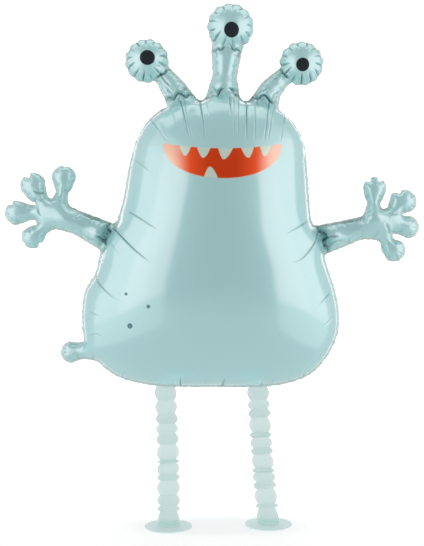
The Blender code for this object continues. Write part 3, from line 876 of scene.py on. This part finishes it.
def foil_shape(settings):
    """The envelope's points and triangles, the painted shade that folds lay on each point, and how much
    each point is in the weld, whose paler colour is partly painted light.
    """
    rings, normal, room = foil_rings(settings)
    folds = []
    kinds = ((CREASES, CREASE_WIDTH, "inwards"), (ROOT_FOLDS, ROOT_FOLD_WIDTH, "both"))
    for listed, width_share, fade in kinds:
        for route, deep, half_width, shade_strength in listed:
            folds.append((route, deep, half_width * width_share, shade_strength, fade))
    folds += eye_creases()
    middle = middle_points(rings[-1], folds)
    flat = np.vstack((*rings, middle))
    triangles = sheet_triangles(rings, middle)
    count, total = len(rings[0]), len(flat)
    free = np.arange(total) >= 2 * count
    height = half_thickness(flat, triangles, free, settings)

    # Painted shade of the folds and of the crumple valleys, kept at each point under the name fold
    depth, dark = fold_depths(flat, folds + seam_puckers(rings[1], normal, room))
    facets, valley_shade = crumples(flat, height)
    depth += facets * settings.crumple / MM
    dark = np.maximum(dark, FACET_SHADE * valley_shade)
    depth += sheet_swell(flat) * np.clip(height / FULL_HEIGHT, 0, 1) * settings.swell / MM
    depth = np.clip(depth, -HIGHEST_LIP, np.clip(height - FLANGE_HALF_THICKNESS, 0, None) * DEEPEST_SHARE)
    ruffle = loop_noise(count, RUFFLE_WAVELENGTHS, RUFFLE_SEED) * settings.ruffle / MM
    shift = np.resize(ruffle, total) * ring_values(RUFFLE_SHARES, count, total)

    sheets = []
    for side in (-1, 1):
        points = np.column_stack((flat[:, 0], side * height, flat[:, 1]))
        outward = vertex_normals(points, triangles if side < 0 else triangles[:, ::-1])
        points -= outward * depth[:, None]
        points[:, 1] += shift
        sheets.append(points)
    index = np.arange(count)
    onward = np.roll(index, -1)
    edge = [np.column_stack((onward, index, index + total))]
    edge += [np.column_stack((onward, index + total, onward + total))]
    faces = np.vstack((triangles, triangles[:, ::-1] + total, *edge))
    # The weld's paler colour, partly painted light that lifts the shade in the seam's corner, reaches onto
    # the first rows of the sheets
    weld_and_painted_light = ring_values(WELD_AND_PAINTED_LIGHT_SHARES, count, total)
    return np.vstack(sheets) * MM, faces, {"fold": np.tile(dark, 2), "weld_and_painted_light": np.tile(weld_and_painted_light, 2)}


def leg_middle(side, z):
    """A leg's middle line at a height: its x and y."""
    hem_x, foot_x, foot_y, sway = LEG_LINES[side]
    share = (HEM_Z - z) / (HEM_Z - LEG_BOTTOM)
    x = hem_x + (foot_x - hem_x) * share + sway * math.sin(math.pi * share)
    return x, BEHIND_FLANGE + (foot_y - BEHIND_FLANGE) * share


def leg_fold_lines(side, settings):
    """A leg's folds from the hem to its flap: heights at the left and right edges, and y."""
    shuffle = random.Random(side)
    last = len(LEG_FOLDS[side])
    lines = [(HEM_Z, HEM_Z, BEHIND_FLANGE)]
    for number, (left_z, right_z) in enumerate(LEG_FOLDS[side], 1):
        depth = settings.fold_depth / MM * shuffle.uniform(*FOLD_DEPTH_SHARES)
        depth *= (1 if number % 2 else -1) * (LAST_FOLD_SHARE if number == last else 1)
        lines.append((left_z, right_z, leg_middle(side, left_z)[1] + depth))
    foot_y = LEG_LINES[side][2]
    lines.append((LEG_BOTTOM, LEG_BOTTOM, foot_y + TAB_BACK_SHARE * TAB_LENGTH))
    return lines


def leg_rows(side, settings):
    """Cross lines of a leg's strip from the top down: left end and right end, in millimetres."""
    rows = []

    def add_row(left_x, right_x, y, left_z, right_z, width):
        rows.append(((left_x - width, y, left_z), (right_x + width, y, right_z)))

    hem_x = leg_middle(side, HEM_Z)[0]
    for z in (HEM_Z + HEM_OVERLAP, HEM_Z):
        add_row(hem_x, hem_x, BEHIND_FLANGE, z, z, LEG_FOLD_HALF_WIDTH)
    lines = leg_fold_lines(side, settings)
    for start, end in zip(lines, lines[1:]):
        for share in PANEL_SHARES:
            left_z, right_z, y = (a + (b - a) * share for a, b in zip(start, end))
            bulge = math.sin(math.pi * share * (0.5 if end is lines[-1] else 1.0))
            width = LEG_LOBE_HALF_WIDTH - LEG_FOLD_HALF_WIDTH
            width = LEG_FOLD_HALF_WIDTH + width * max(bulge, 0) ** LOBE_POWER
            add_row(leg_middle(side, left_z)[0], leg_middle(side, right_z)[0], y, left_z, right_z, width)
    foot_x = LEG_LINES[side][1]
    for n in range(1, TAB_STEPS + 1):
        share = n / TAB_STEPS
        width = LEG_LOBE_HALF_WIDTH * math.sqrt(1 - TAB_TAPER * share**2)
        y = lines[-1][2] - TAB_LENGTH * share
        add_row(foot_x, foot_x, y, LEG_BOTTOM, LEG_BOTTOM, width)
    return rows


def leg_shape(side, settings):
    """A leg's strip as points in metres, faces, and each point's distance from the strip's middle line."""
    rows = [tuple(np.array(end) for end in row) for row in leg_rows(side, settings)]
    points, across = [], []
    for n, (left, right) in enumerate(rows):
        before, after = rows[max(n - 1, 0)], rows[min(n + 1, len(rows) - 1)]
        along = after[0] + after[1] - before[0] - before[1]
        outward = np.cross(along, right - left)
        outward *= PAPER_HALF_THICKNESS / np.linalg.norm(outward)
        half_width = (right[0] - left[0]) / 2
        for offset in (outward, -outward):
            points += [left + offset, right + offset]
            across += [-half_width, half_width]
    faces = []
    for n in range(len(rows) - 1):
        a = 4 * n
        b = a + 4
        faces += [(a, b, b + 1, a + 1), (a + 2, a + 3, b + 3, b + 2)]
        faces += [(a, a + 2, b + 2, b), (a + 1, b + 1, b + 3, a + 3)]
    last = 4 * len(rows) - 4
    faces += [(0, 1, 3, 2), (last, last + 2, last + 3, last + 1)]
    return np.array(points) * MM, faces, np.array(across)


def math_node(tree, operation, *values):
    """The result of a Math node whose inputs are numbers or other nodes' results."""
    node = tree.nodes.new("ShaderNodeMath")
    node.operation = operation
    for socket, value in zip(node.inputs, values):
        if isinstance(value, (int, float)):
            socket.default_value = value
        else:
            tree.links.new(value, socket)
    return node.outputs[0]


def smooth_range(tree, value, low, high, result=(0.0, 1.0)):
    """A smooth step from the first result to the second as a value goes from low to high."""
    node = tree.nodes.new("ShaderNodeMapRange")
    node.interpolation_type = "SMOOTHSTEP"
    tree.links.new(value, node.inputs["Value"])
    node.inputs["From Min"].default_value = low
    node.inputs["From Max"].default_value = high
    node.inputs["To Min"].default_value, node.inputs["To Max"].default_value = result
    return node.outputs["Result"]


def soft_step(tree, value, width):
    """0 below minus the width, 1 above it."""
    return smooth_range(tree, value, -width, width)


def mix_colour(tree, share, first, second):
    """The first colour where the share is 0, the second where it is 1."""
    node = tree.nodes.new("ShaderNodeMix")
    node.data_type = "RGBA"
    tree.links.new(share, node.inputs["Factor"])
    for socket, value in ((node.inputs[6], first), (node.inputs[7], second)):
        if isinstance(value, (tuple, list)):
            socket.default_value = (*value[:3], 1)
        else:
            tree.links.new(value, socket)
    return node.outputs[2]


def point_value(tree, name):
    """The number that a mesh holds under a name at each point."""
    node = tree.nodes.new("ShaderNodeAttribute")
    node.attribute_name = name
    return node.outputs["Fac"]


def places(tree, kind="Object"):
    """The x, y and z of each place on the piece in metres, or of each direction in the room."""
    node = tree.nodes.new("ShaderNodeSeparateXYZ")
    tree.links.new(tree.nodes.new("ShaderNodeTexCoord").outputs[kind], node.inputs[0])
    return node.outputs


def new_paint(name, colour, roughness):
    """A material of one colour and roughness, with its shader."""
    paint = bpy.data.materials.new(name)
    paint.use_nodes = True
    shader = paint.node_tree.nodes["Principled BSDF"]
    shader.inputs["Base Color"].default_value = (*colour, 1)
    shader.inputs["Roughness"].default_value = roughness
    return paint, shader


def tooth(tree, x, left, tip, right, height):
    """A tooth's height over its base line, at each x."""
    rising = math_node(tree, "MULTIPLY_ADD", x, -1 / (tip - left), tip / (tip - left))
    falling = math_node(tree, "MULTIPLY_ADD", x, 1 / (right - tip), -tip / (right - tip))
    away = math_node(tree, "MAXIMUM", rising, falling)
    curve = math_node(tree, "POWER", away, TOOTH_CURVE)
    return math_node(tree, "MULTIPLY_ADD", curve, -height, height)


def between(tree, z, low, high):
    """1 where z is between two heights."""
    under = soft_step(tree, math_node(tree, "SUBTRACT", high, z), PRINT_SOFTNESS)
    over = soft_step(tree, math_node(tree, "SUBTRACT", z, low), PRINT_SOFTNESS)
    return math_node(tree, "MULTIPLY", under, over)


def mouth_group():
    """A node group that says whether a place is in the mouth's red, and whether in a tooth."""
    tree = bpy.data.node_groups.new("printed mouth", "ShaderNodeTree")
    for name in ("x", "z"):
        tree.interface.new_socket(name=name, in_out="INPUT", socket_type="NodeSocketFloat")
    for name in ("red", "tooth"):
        tree.interface.new_socket(name=name, in_out="OUTPUT", socket_type="NodeSocketFloat")
    given = tree.nodes.new("NodeGroupInput")
    made = tree.nodes.new("NodeGroupOutput")
    x, z = given.outputs[0], given.outputs[1]
    across = math_node(tree, "ABSOLUTE", math_node(tree, "ADD", x, -MOUTH_MIDDLE))
    across = math_node(tree, "MINIMUM", math_node(tree, "DIVIDE", across, MOUTH_HALF_WIDTH), 1.0)
    sag = math_node(tree, "POWER", across, 2.0)
    top = math_node(tree, "MULTIPLY_ADD", sag, MOUTH_TOP_SAG, MOUTH_CORNER_Z - MOUTH_TOP_SAG)
    left_over = math_node(tree, "SUBTRACT", 1.0, math_node(tree, "POWER", across, MOUTH_ROUNDNESS))
    left_over = math_node(tree, "MAXIMUM", left_over, 0.0)
    bowl = math_node(tree, "POWER", left_over, 1 / MOUTH_ROUNDNESS)
    bottom = math_node(tree, "MULTIPLY_ADD", bowl, -MOUTH_DEPTH, MOUTH_CORNER_Z)
    hanging = None
    for left, tip, right, tip_z in TOP_TEETH:
        base = MOUTH_CORNER_Z - MOUTH_TOP_SAG * (1 - ((tip - MOUTH_MIDDLE) / MOUTH_HALF_WIDTH) ** 2)
        shape = tooth(tree, x, left, tip, right, base - tip_z)
        hanging = shape if hanging is None else math_node(tree, "MAXIMUM", hanging, shape)
    hanging = math_node(tree, "MAXIMUM", hanging, 0.0)
    left, tip, right, tip_z, base = LOWER_TOOTH
    standing = math_node(tree, "MAXIMUM", tooth(tree, x, left, tip, right, tip_z - base), 0.0)
    red_top = math_node(tree, "SUBTRACT", top, hanging)
    red_bottom = math_node(tree, "ADD", bottom, standing)
    red = between(tree, z, red_bottom, red_top)
    whole = between(tree, z, bottom, top)
    tree.links.new(red, made.inputs[0])
    tree.links.new(math_node(tree, "SUBTRACT", whole, red), made.inputs[1])
    return tree


def disc(tree, x, z, middle_x, middle_z, radius):
    """1 inside a printed disc."""
    across = math_node(tree, "ADD", x, -middle_x)
    up = math_node(tree, "ADD", z, -middle_z)
    squares = math_node(tree, "MULTIPLY", up, up)
    squares = math_node(tree, "ADD", math_node(tree, "MULTIPLY", across, across), squares)
    gap = math_node(tree, "SUBTRACT", radius, math_node(tree, "SQRT", squares))
    return soft_step(tree, gap, DISC_SOFTNESS)


def mouth_print(tree, x, z, settings):
    """Where the mouth is red, where its teeth are, and the line round it."""
    mouth = mouth_group()
    line = settings.outline_width / MM
    shifted = []
    for across, up in ((0, 0), (line, 0), (-line, 0), (0, line), (0, -line)):
        node = tree.nodes.new("ShaderNodeGroup")
        node.node_tree = mouth
        tree.links.new(math_node(tree, "ADD", x, across), node.inputs[0])
        tree.links.new(math_node(tree, "ADD", z, up), node.inputs[1])
        shifted.append(node)
    red, teeth = shifted[0].outputs
    grown = red
    for node in shifted[1:]:
        grown = math_node(tree, "MAXIMUM", grown, node.outputs[0])
    return red, teeth, math_node(tree, "SUBTRACT", grown, red)


def print_colours(tree, x, z, settings):
    """The front's colour, with painted light and a painted highlight on the mouth's sides and ends, how
    much the red takes the shine away, and where the ink is dark.
    """
    red, teeth, outline = mouth_print(tree, x, z, settings)
    colour = mix_colour(tree, teeth, tuple(settings.foil_colour), tuple(settings.tooth_colour))
    colour = mix_colour(tree, outline, colour, tuple(settings.outline_colour))
    # Painted light beside the mouth's middle, and a pale painted highlight at its ends
    away = math_node(tree, "ABSOLUTE", math_node(tree, "ADD", x, -MOUTH_MIDDLE))
    ends = smooth_range(tree, away, MOUTH_HIGHLIGHT_FROM, MOUTH_HIGHLIGHT_TO)
    lit = smooth_range(tree, away, MOUTH_LIT_FROM, MOUTH_LIT_TO)
    ink = mix_colour(tree, lit, tuple(settings.mouth_colour), tuple(settings.mouth_lit_colour))
    ink = mix_colour(tree, ends, ink, tuple(settings.mouth_highlight_colour))
    colour = mix_colour(tree, red, colour, ink)
    pupils = [disc(tree, x, z, *one) for one in PUPILS]
    dark = pupils[0]
    for one in pupils[1:]:
        dark = math_node(tree, "MAXIMUM", dark, one)
    colour = mix_colour(tree, dark, colour, tuple(settings.pupil_colour))
    for one in SPOTS:
        spot = disc(tree, x, z, *one)
        colour = mix_colour(tree, spot, colour, tuple(settings.spot_colour))
        dark = math_node(tree, "MAXIMUM", dark, spot)
    colour = mix_colour(tree, disc(tree, x, z, *VALVE_SPOT), colour, VALVE_COLOUR)
    dull_red = math_node(tree, "MULTIPLY", red, math_node(tree, "SUBTRACT", 1.0, ends))
    return colour, dull_red, dark


def foil_material(settings):
    """Satin metallised film with its print, by place on the piece, with painted shade in the folds, painted
    light on the weld and the sheets beside it, and painted light and a painted highlight on the mouth's
    sides and ends.
    """
    paint, shader = new_paint("foil", tuple(settings.foil_colour), settings.roughness)
    tree = paint.node_tree
    x, y, z = (math_node(tree, "MULTIPLY", place, 1 / MM) for place in places(tree))
    front = soft_step(tree, math_node(tree, "MULTIPLY", y, -1.0), FRONT_SOFTNESS)
    printed, dull_red, dark = print_colours(tree, x, z, settings)
    # The weld's paler colour is partly painted light; the fold value is painted shade, mixed towards the
    # fold shade colour
    weld_and_painted_light = point_value(tree, "weld_and_painted_light")
    shade = math_node(tree, "MULTIPLY", point_value(tree, "fold"), settings.fold_shade_strength)
    colour = mix_colour(tree, front, tuple(settings.foil_colour), printed)
    colour = mix_colour(tree, weld_and_painted_light, colour, tuple(settings.weld_and_painted_light_colour))
    colour = mix_colour(tree, shade, colour, tuple(settings.fold_shade_colour))
    tree.links.new(colour, shader.inputs["Base Color"])

    inked = math_node(tree, "MAXIMUM", math_node(tree, "MULTIPLY", dull_red, settings.mouth_cover), dark)
    inked = math_node(tree, "MULTIPLY", inked, front)
    inked = math_node(tree, "MULTIPLY", inked, settings.ink_cover)
    # The folds' painted shade also takes away the clear layer's shine
    covered = math_node(tree, "MULTIPLY", shade, settings.fold_shade_dullness)
    covered = math_node(tree, "MAXIMUM", math_node(tree, "MAXIMUM", inked, covered), weld_and_painted_light)
    coat = math_node(tree, "MULTIPLY_ADD", covered, -settings.coat, settings.coat)
    tree.links.new(coat, shader.inputs["Coat Weight"])
    shader.inputs["Coat Roughness"].default_value = settings.coat_roughness
    shader.inputs["Coat IOR"].default_value = settings.coat_ior
    shader.inputs["Metallic"].default_value = settings.metal
    shader.inputs["Specular IOR Level"].default_value = settings.under_gloss
    return paint


def paper_material(name, colour, roughness):
    """Matt paper or card with a fine grain, and its shader."""
    paint, shader = new_paint(name, colour, roughness)
    tree = paint.node_tree
    grain = tree.nodes.new("ShaderNodeTexNoise")
    grain.inputs["Scale"].default_value = GRAIN_SCALE
    bump = tree.nodes.new("ShaderNodeBump")
    bump.inputs["Strength"].default_value = GRAIN_STRENGTH
    bump.inputs["Distance"].default_value = GRAIN_DEPTH
    place = tree.nodes.new("ShaderNodeTexCoord").outputs["Object"]
    tree.links.new(place, grain.inputs["Vector"])
    tree.links.new(grain.outputs["Fac"], bump.inputs["Height"])
    tree.links.new(bump.outputs["Normal"], shader.inputs["Normal"])
    return paint, shader


def strip_material(settings):
    """Thin leg paper: light comes through it, its lobes are greyer with painted shade, and its glued flap
    is lighter with painted light.
    """
    paint, shader = paper_material("leg paper", tuple(settings.leg_colour), LEG_ROUGHNESS)
    tree = paint.node_tree
    height = math_node(tree, "MULTIPLY_ADD", places(tree)[2], 1 / MM, -TAB_CLEAR)
    standing = soft_step(tree, height, TAB_SOFTNESS)
    away = math_node(tree, "ABSOLUTE", point_value(tree, "across"))
    # The lobes' greyer colour is painted shade
    lobe_shade = soft_step(tree, math_node(tree, "ADD", away, -LOBE_START), LOBE_SOFTNESS)
    tint = mix_colour(tree, lobe_shade, tuple(settings.leg_colour), tuple(settings.lobe_shade_colour))
    # The flap's lighter colour is painted light against the leg's shade on it
    tint = mix_colour(tree, standing, tuple(settings.tab_painted_light_colour), tint)
    tree.links.new(tint, shader.inputs["Base Color"])
    lit_through = math_node(tree, "MULTIPLY", standing, settings.see_through)
    tree.links.new(lit_through, shader.inputs["Subsurface Weight"])
    shader.inputs["Subsurface Radius"].default_value = (1.0, 1.0, 1.0)
    shader.inputs["Subsurface Scale"].default_value = LIGHT_TRAVEL
    return paint


def floor_material(settings):
    """White floor that glows a little, less between the feet, where a painted shadow lowers its glow."""
    paint, shader = new_paint("floor paper", FLOOR_COLOUR, FLOOR_ROUGHNESS)
    tree = paint.node_tree
    shader.inputs["Specular IOR Level"].default_value = 0.0
    shader.inputs["Emission Color"].default_value = (1, 1, 1, 1)
    x, y, _ = places(tree)
    middle_x, reach_x, reach_y = FLOOR_SHADE
    across = math_node(tree, "MULTIPLY_ADD", x, 1 / reach_x, -middle_x / reach_x)
    back = math_node(tree, "MULTIPLY", y, 1 / reach_y)
    squares = math_node(tree, "MULTIPLY", back, back)
    squares = math_node(tree, "ADD", math_node(tree, "MULTIPLY", across, across), squares)
    glow = (settings.floor_light - settings.floor_shade, settings.floor_light)
    glow = smooth_range(tree, squares, DEEPEST_SHADE, 1.0, glow)
    tree.links.new(glow, shader.inputs["Emission Strength"])
    return paint


def colour_setting(name, description, default):
    """A colour that a user can change."""
    return FloatVectorProperty(
        name=name, description=description, default=default, subtype="COLOR", size=3, min=0, max=1
    )


def share_setting(name, description, default):
    """A share between 0 and 1 that a user can change."""
    return FloatProperty(name=name, description=description, default=default, min=0, max=1)


def length_setting(name, description, default):
    """A length in metres that a user can change."""
    return FloatProperty(name=name, description=description, default=default, min=0, unit="LENGTH")


def light_setting(name, description, default):
    """A brightness that a user can change."""
    return FloatProperty(name=name, description=description, default=default, min=0)


class FoilSettings(PropertyGroup):
    fullness: share_setting("Fullness", "How round the gas fills the envelope", 0.86)
    flange_width: length_setting("Flange width", "Width of the flat welded edge", 0.005)
    scallop: length_setting("Scallop", "Small scallops of the welded edge", 0.0013)
    swell: length_setting("Swell", "Slow unevenness of the film", 0.0002)
    ruffle: length_setting("Ruffle", "How far the welded edge wanders", 0.0012)
    crumple: length_setting("Crumple", "Depth of the facets where the limbs are pinched", 0.003)
    outline_width: length_setting("Outline width", "Width of the line round the mouth", 0.0013)
    foil_colour: colour_setting("Foil colour", "Tint of the film", (0.46, 0.83, 0.84))
    # Partly painted light: the weld is paler to lift the shade where it meets the sheets
    weld_and_painted_light_colour: colour_setting("Weld colour", "Tint of the flat welded edge", (0.78, 0.98, 0.96))
    tooth_colour: colour_setting("Tooth colour", "Tint of the printed teeth", (0.66, 0.86, 0.72))
    outline_colour: colour_setting("Outline colour", "Tint of the line round the mouth", (0.75, 0.62, 0.42))
    mouth_colour: colour_setting("Mouth colour", "Tint of the printed mouth", (0.71, 0.056, 0.003))
    # Painted light: the brighter red beside the mouth's middle and the pale painted highlight at its ends
    mouth_lit_colour: colour_setting("Lit mouth", "Tint of the mouth beside its middle", (1.0, 0.11, 0.02))
    mouth_highlight_colour: colour_setting("Mouth end colour", "Tint of the mouth's pale ends", (1.0, 0.54, 0.34))
    pupil_colour: colour_setting("Pupil colour", "Ink of the pupils", (0.02, 0.027, 0.036))
    spot_colour: colour_setting("Spots", "Tint of the three printed spots", (0.14, 0.30, 0.33))
    # Painted shade in the folds: its colour, strength, and the shine it takes away
    fold_shade_colour: colour_setting("Fold colour", "Tint deep in a fold", (0.03, 0.15, 0.14))
    fold_shade_strength: share_setting("Fold darkness", "How dark the folds are", 0.92)
    fold_shade_dullness: share_setting("Fold dullness", "How much of the shine a dark fold loses", 0.8)
    metal: share_setting("Metal", "How metallic the film is", 0.3)
    roughness: share_setting("Roughness", "Of the film", 0.45)
    under_gloss: share_setting("Under gloss", "Gloss below the clear layer", 0.1)
    coat: share_setting("Coat", "Clear layer on the film", 1.0)
    coat_roughness: share_setting("Coat roughness", "Of the clear layer", 0.15)
    coat_ior: FloatProperty(name="Coat IOR", description="Of the clear layer", default=2.5, min=1, max=3)
    ink_cover: share_setting("Ink cover", "How much of the shine printed ink takes away", 0.95)
    mouth_cover: share_setting("Mouth cover", "The mouth ink's share of that", 1.0)


class PaperSettings(PropertyGroup):
    leg_colour: colour_setting("Leg colour", "Colour of the folded paper", (0.44, 0.70, 0.66))
    # Painted shade: the greyer colour of the lobes
    lobe_shade_colour: colour_setting("Lobe colour", "Colour of the paper's scalloped edges", (0.53, 0.70, 0.665))
    # Painted light: the flap is lighter to lift the shade that the leg casts on it
    tab_painted_light_colour: colour_setting("Flap colour", "Colour of the flap glued on the foot", (0.75, 0.98, 0.95))
    see_through: share_setting("See through", "How much light the leg paper lets through", 0.8)
    foot_colour: colour_setting("Foot colour", "Colour of the card feet", (0.82, 0.99, 0.98))
    fold_depth: length_setting("Fold depth", "How far the folds stand to the front and back", 0.007)


class StudioSettings(PropertyGroup):
    front_light: light_setting("Front", "Room light from the front", 0.36)
    around_light: light_setting("Around", "Room light from the sides", 0.6)
    back_light: light_setting("Back", "Room light from the back", 0.62)
    above_light: light_setting("Above", "Room light from above", 0.37)
    below_light: light_setting("Below", "Room light from below", 0.6)
    backdrop_light: light_setting("Backdrop", "Room light from straight behind", 1.45)
    left_light: light_setting("Left light", "Brightness of the left lights", 0.7)
    right_light: light_setting("Right light", "Brightness of the right lights", 0.74)
    side_tint: colour_setting("Side tint", "Tint of the side lights", (1.0, 0.845, 0.86))
    low_light: light_setting("Low lights", "The low lights' share of the ones above them", 0.5)
    high_light: light_setting("High lights", "The high lights' share of the ones below them", 0.5)
    top_light: light_setting("Top light", "Brightness of the light over the figure", 0.8)
    floor_light: light_setting("Floor glow", "Extra light from the floor", 0.37)
    # Painted shadow: the glow taken from the floor between the feet
    floor_shade: light_setting("Floor shade", "Glow missing between the feet", 0.08)
    camera_distance: length_setting("Camera distance", "From the camera to the middle", 1.8)
    camera_height: length_setting("Camera height", "Above the floor", 0.506)
    lens: FloatProperty(name="Lens", description="Focal length in millimetres", default=59.34, min=1)


class BALLOON_OT_foil(Operator):
    """Builds the foil envelope inside its CAD outline"""

    bl_idname = "balloon.foil"
    bl_label = "Build the foil envelope"

    def execute(self, context):
        settings = context.scene.balloon_foil
        points, faces, marks = foil_shape(settings)
        made = add_mesh("foil", points, faces)
        mark_points(made, marks)
        made.data.materials.append(foil_material(settings))
        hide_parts("foil_envelope")
        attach(made, "root")
        return {"FINISHED"}


class BALLOON_OT_paper(Operator):
    """Gives the legs and feet their paper and card"""

    bl_idname = "balloon.paper"
    bl_label = "Paint the legs and feet"

    def execute(self, context):
        settings = context.scene.balloon_paper
        leg = strip_material(settings)
        foot, _ = paper_material("foot card", tuple(settings.foot_colour), FOOT_ROUGHNESS)
        for side in ("left", "right"):
            points, faces, across = leg_shape(side, settings)
            made = add_mesh("strip_" + side, points, faces)
            made.data.set_sharp_from_angle(angle=math.radians(LEG_CREASE_ANGLE))
            mark_points(made, {"across": across})
            made.data.materials.append(leg)
            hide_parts("leg_" + side)
            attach(made, "root")
            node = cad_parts["foot_" + side]
            node.data.materials.clear()
            node.data.materials.append(foot)
        return {"FINISHED"}


def soft_light(name, place, aim, width, height, radiance, colour=(1, 1, 1)):
    """A rectangular lamp aimed at a place, whose brightness doesn't change with its size."""
    lamp = bpy.data.lights.new(name, "AREA")
    lamp.shape = "RECTANGLE"
    lamp.size = width
    lamp.size_y = height
    lamp.energy = radiance * math.pi * width * height
    lamp.color = colour
    made = bpy.data.objects.new(name, lamp)
    bpy.context.scene.collection.objects.link(made)
    made.location = place
    made.rotation_euler = (Vector(aim) - Vector(place)).to_track_quat("-Z", "Y").to_euler()


def studio_floor(settings):
    """The floor that the figure stands on."""
    width, front, back = FLOOR_HALF_WIDTH, FLOOR_FRONT, FLOOR_BACK
    corners = [(-width, front, 0), (width, front, 0), (width, back, 0), (-width, back, 0)]
    floor = add_mesh("floor", corners, [(0, 1, 2, 3)])
    floor.data.materials.append(floor_material(settings))
    floor.visible_glossy = False


def studio_lights(settings):
    """The lights beside, below and above the figure."""
    brightness = {"left": settings.left_light, "right": settings.right_light}
    tint = tuple(settings.side_tint)
    for name, side, place, aim, width, share in SIDE_LIGHTS:
        soft_light(name, place, aim, width, SIDE_LIGHT_HEIGHT, brightness[side] * share, tint)
    for side, x, y, width in OUTER_LIGHTS:
        place, aim = (x, y, LOW_LIGHT_Z), (0, 0, LOW_LIGHT_Z)
        radiance = brightness[side] * settings.low_light
        soft_light("low %s light" % side, place, aim, width, LOW_LIGHT_HEIGHT, radiance)
    for side, x, y, width in OUTER_LIGHTS:
        place, aim = (x, y, HIGH_LIGHT_Z), (0, 0, HIGH_LIGHT_Z)
        radiance = brightness[side] * settings.high_light
        soft_light("high %s light" % side, place, aim, width, HIGH_LIGHT_HEIGHT, radiance, tint)
    soft_light("top light", *TOP_LIGHT, settings.top_light)


def blend(tree, share, low, high):
    """The low value where the share is 0, the high one where it is 1."""
    step = math_node(tree, "SUBTRACT", high, low)
    return math_node(tree, "MULTIPLY_ADD", share, step, low)


def studio_room(settings):
    """Even light from the room, by direction."""
    world = bpy.data.worlds.new("room")
    bpy.context.scene.world = world
    world.use_nodes = True
    tree = world.node_tree
    room = tree.nodes["Background"]
    room.inputs["Color"].default_value = (1, 1, 1, 1)
    _, back, up = places(tree, "Generated")
    level = settings.front_light
    for way, zone, light in (
        (back, FRONT_TO_SIDES, settings.around_light),
        (back, SIDES_TO_BACK, settings.back_light),
        (back, BACK_TO_BACKDROP, settings.backdrop_light),
        (up, SIDES_TO_ABOVE, settings.above_light),
        (up, SIDES_TO_BELOW, settings.below_light),
    ):
        level = blend(tree, smooth_range(tree, way, *zone), level, light)
    tree.links.new(level, room.inputs["Strength"])


def studio_camera(settings):
    """The camera, level and straight in front of the figure."""
    camera = bpy.data.cameras.new("camera")
    camera.lens = settings.lens
    camera.sensor_width = SENSOR_WIDTH
    made = bpy.data.objects.new("camera", camera)
    bpy.context.scene.collection.objects.link(made)
    made.location = (0, -settings.camera_distance, settings.camera_height)
    made.rotation_euler = (math.pi / 2, 0, 0)
    bpy.context.scene.camera = made


class BALLOON_OT_stage(Operator):
    """Builds the floor, the room, the lights and the camera"""

    bl_idname = "balloon.stage"
    bl_label = "Build the studio"

    def execute(self, context):
        settings = context.scene.balloon_studio
        studio_floor(settings)
        studio_lights(settings)
        studio_room(settings)
        studio_camera(settings)
        context.scene.view_settings.view_transform = "Standard"
        return {"FINISHED"}


class BALLOON_PT_panel(Panel):
    bl_label = "Foil walking balloon"
    bl_idname = "BALLOON_PT_panel"
    bl_space_type = "VIEW_3D"
    bl_region_type = "UI"
    bl_category = "Balloon"

    def draw(self, context):
        layout = self.layout
        for group, operator in (
            ("balloon_foil", "balloon.foil"),
            ("balloon_paper", "balloon.paper"),
            ("balloon_studio", "balloon.stage"),
        ):
            box = layout.box()
            settings = getattr(context.scene, group)
            for name in settings.__annotations__:
                box.prop(settings, name)
            box.operator(operator)


CLASSES = (
    FoilSettings,
    PaperSettings,
    StudioSettings,
    BALLOON_OT_foil,
    BALLOON_OT_paper,
    BALLOON_OT_stage,
    BALLOON_PT_panel,
)


def register():
    for cls in CLASSES:
        bpy.utils.register_class(cls)
    bpy.types.Scene.balloon_foil = PointerProperty(type=FoilSettings)
    bpy.types.Scene.balloon_paper = PointerProperty(type=PaperSettings)
    bpy.types.Scene.balloon_studio = PointerProperty(type=StudioSettings)


def unregister():
    del bpy.types.Scene.balloon_studio
    del bpy.types.Scene.balloon_paper
    del bpy.types.Scene.balloon_foil
    for cls in reversed(CLASSES):
        bpy.utils.unregister_class(cls)


def main():
    """Builds every piece and the studio."""
    register()
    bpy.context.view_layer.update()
    bpy.ops.balloon.foil()
    bpy.ops.balloon.paper()
    bpy.ops.balloon.stage()


if __name__ == "__main__":
    main()
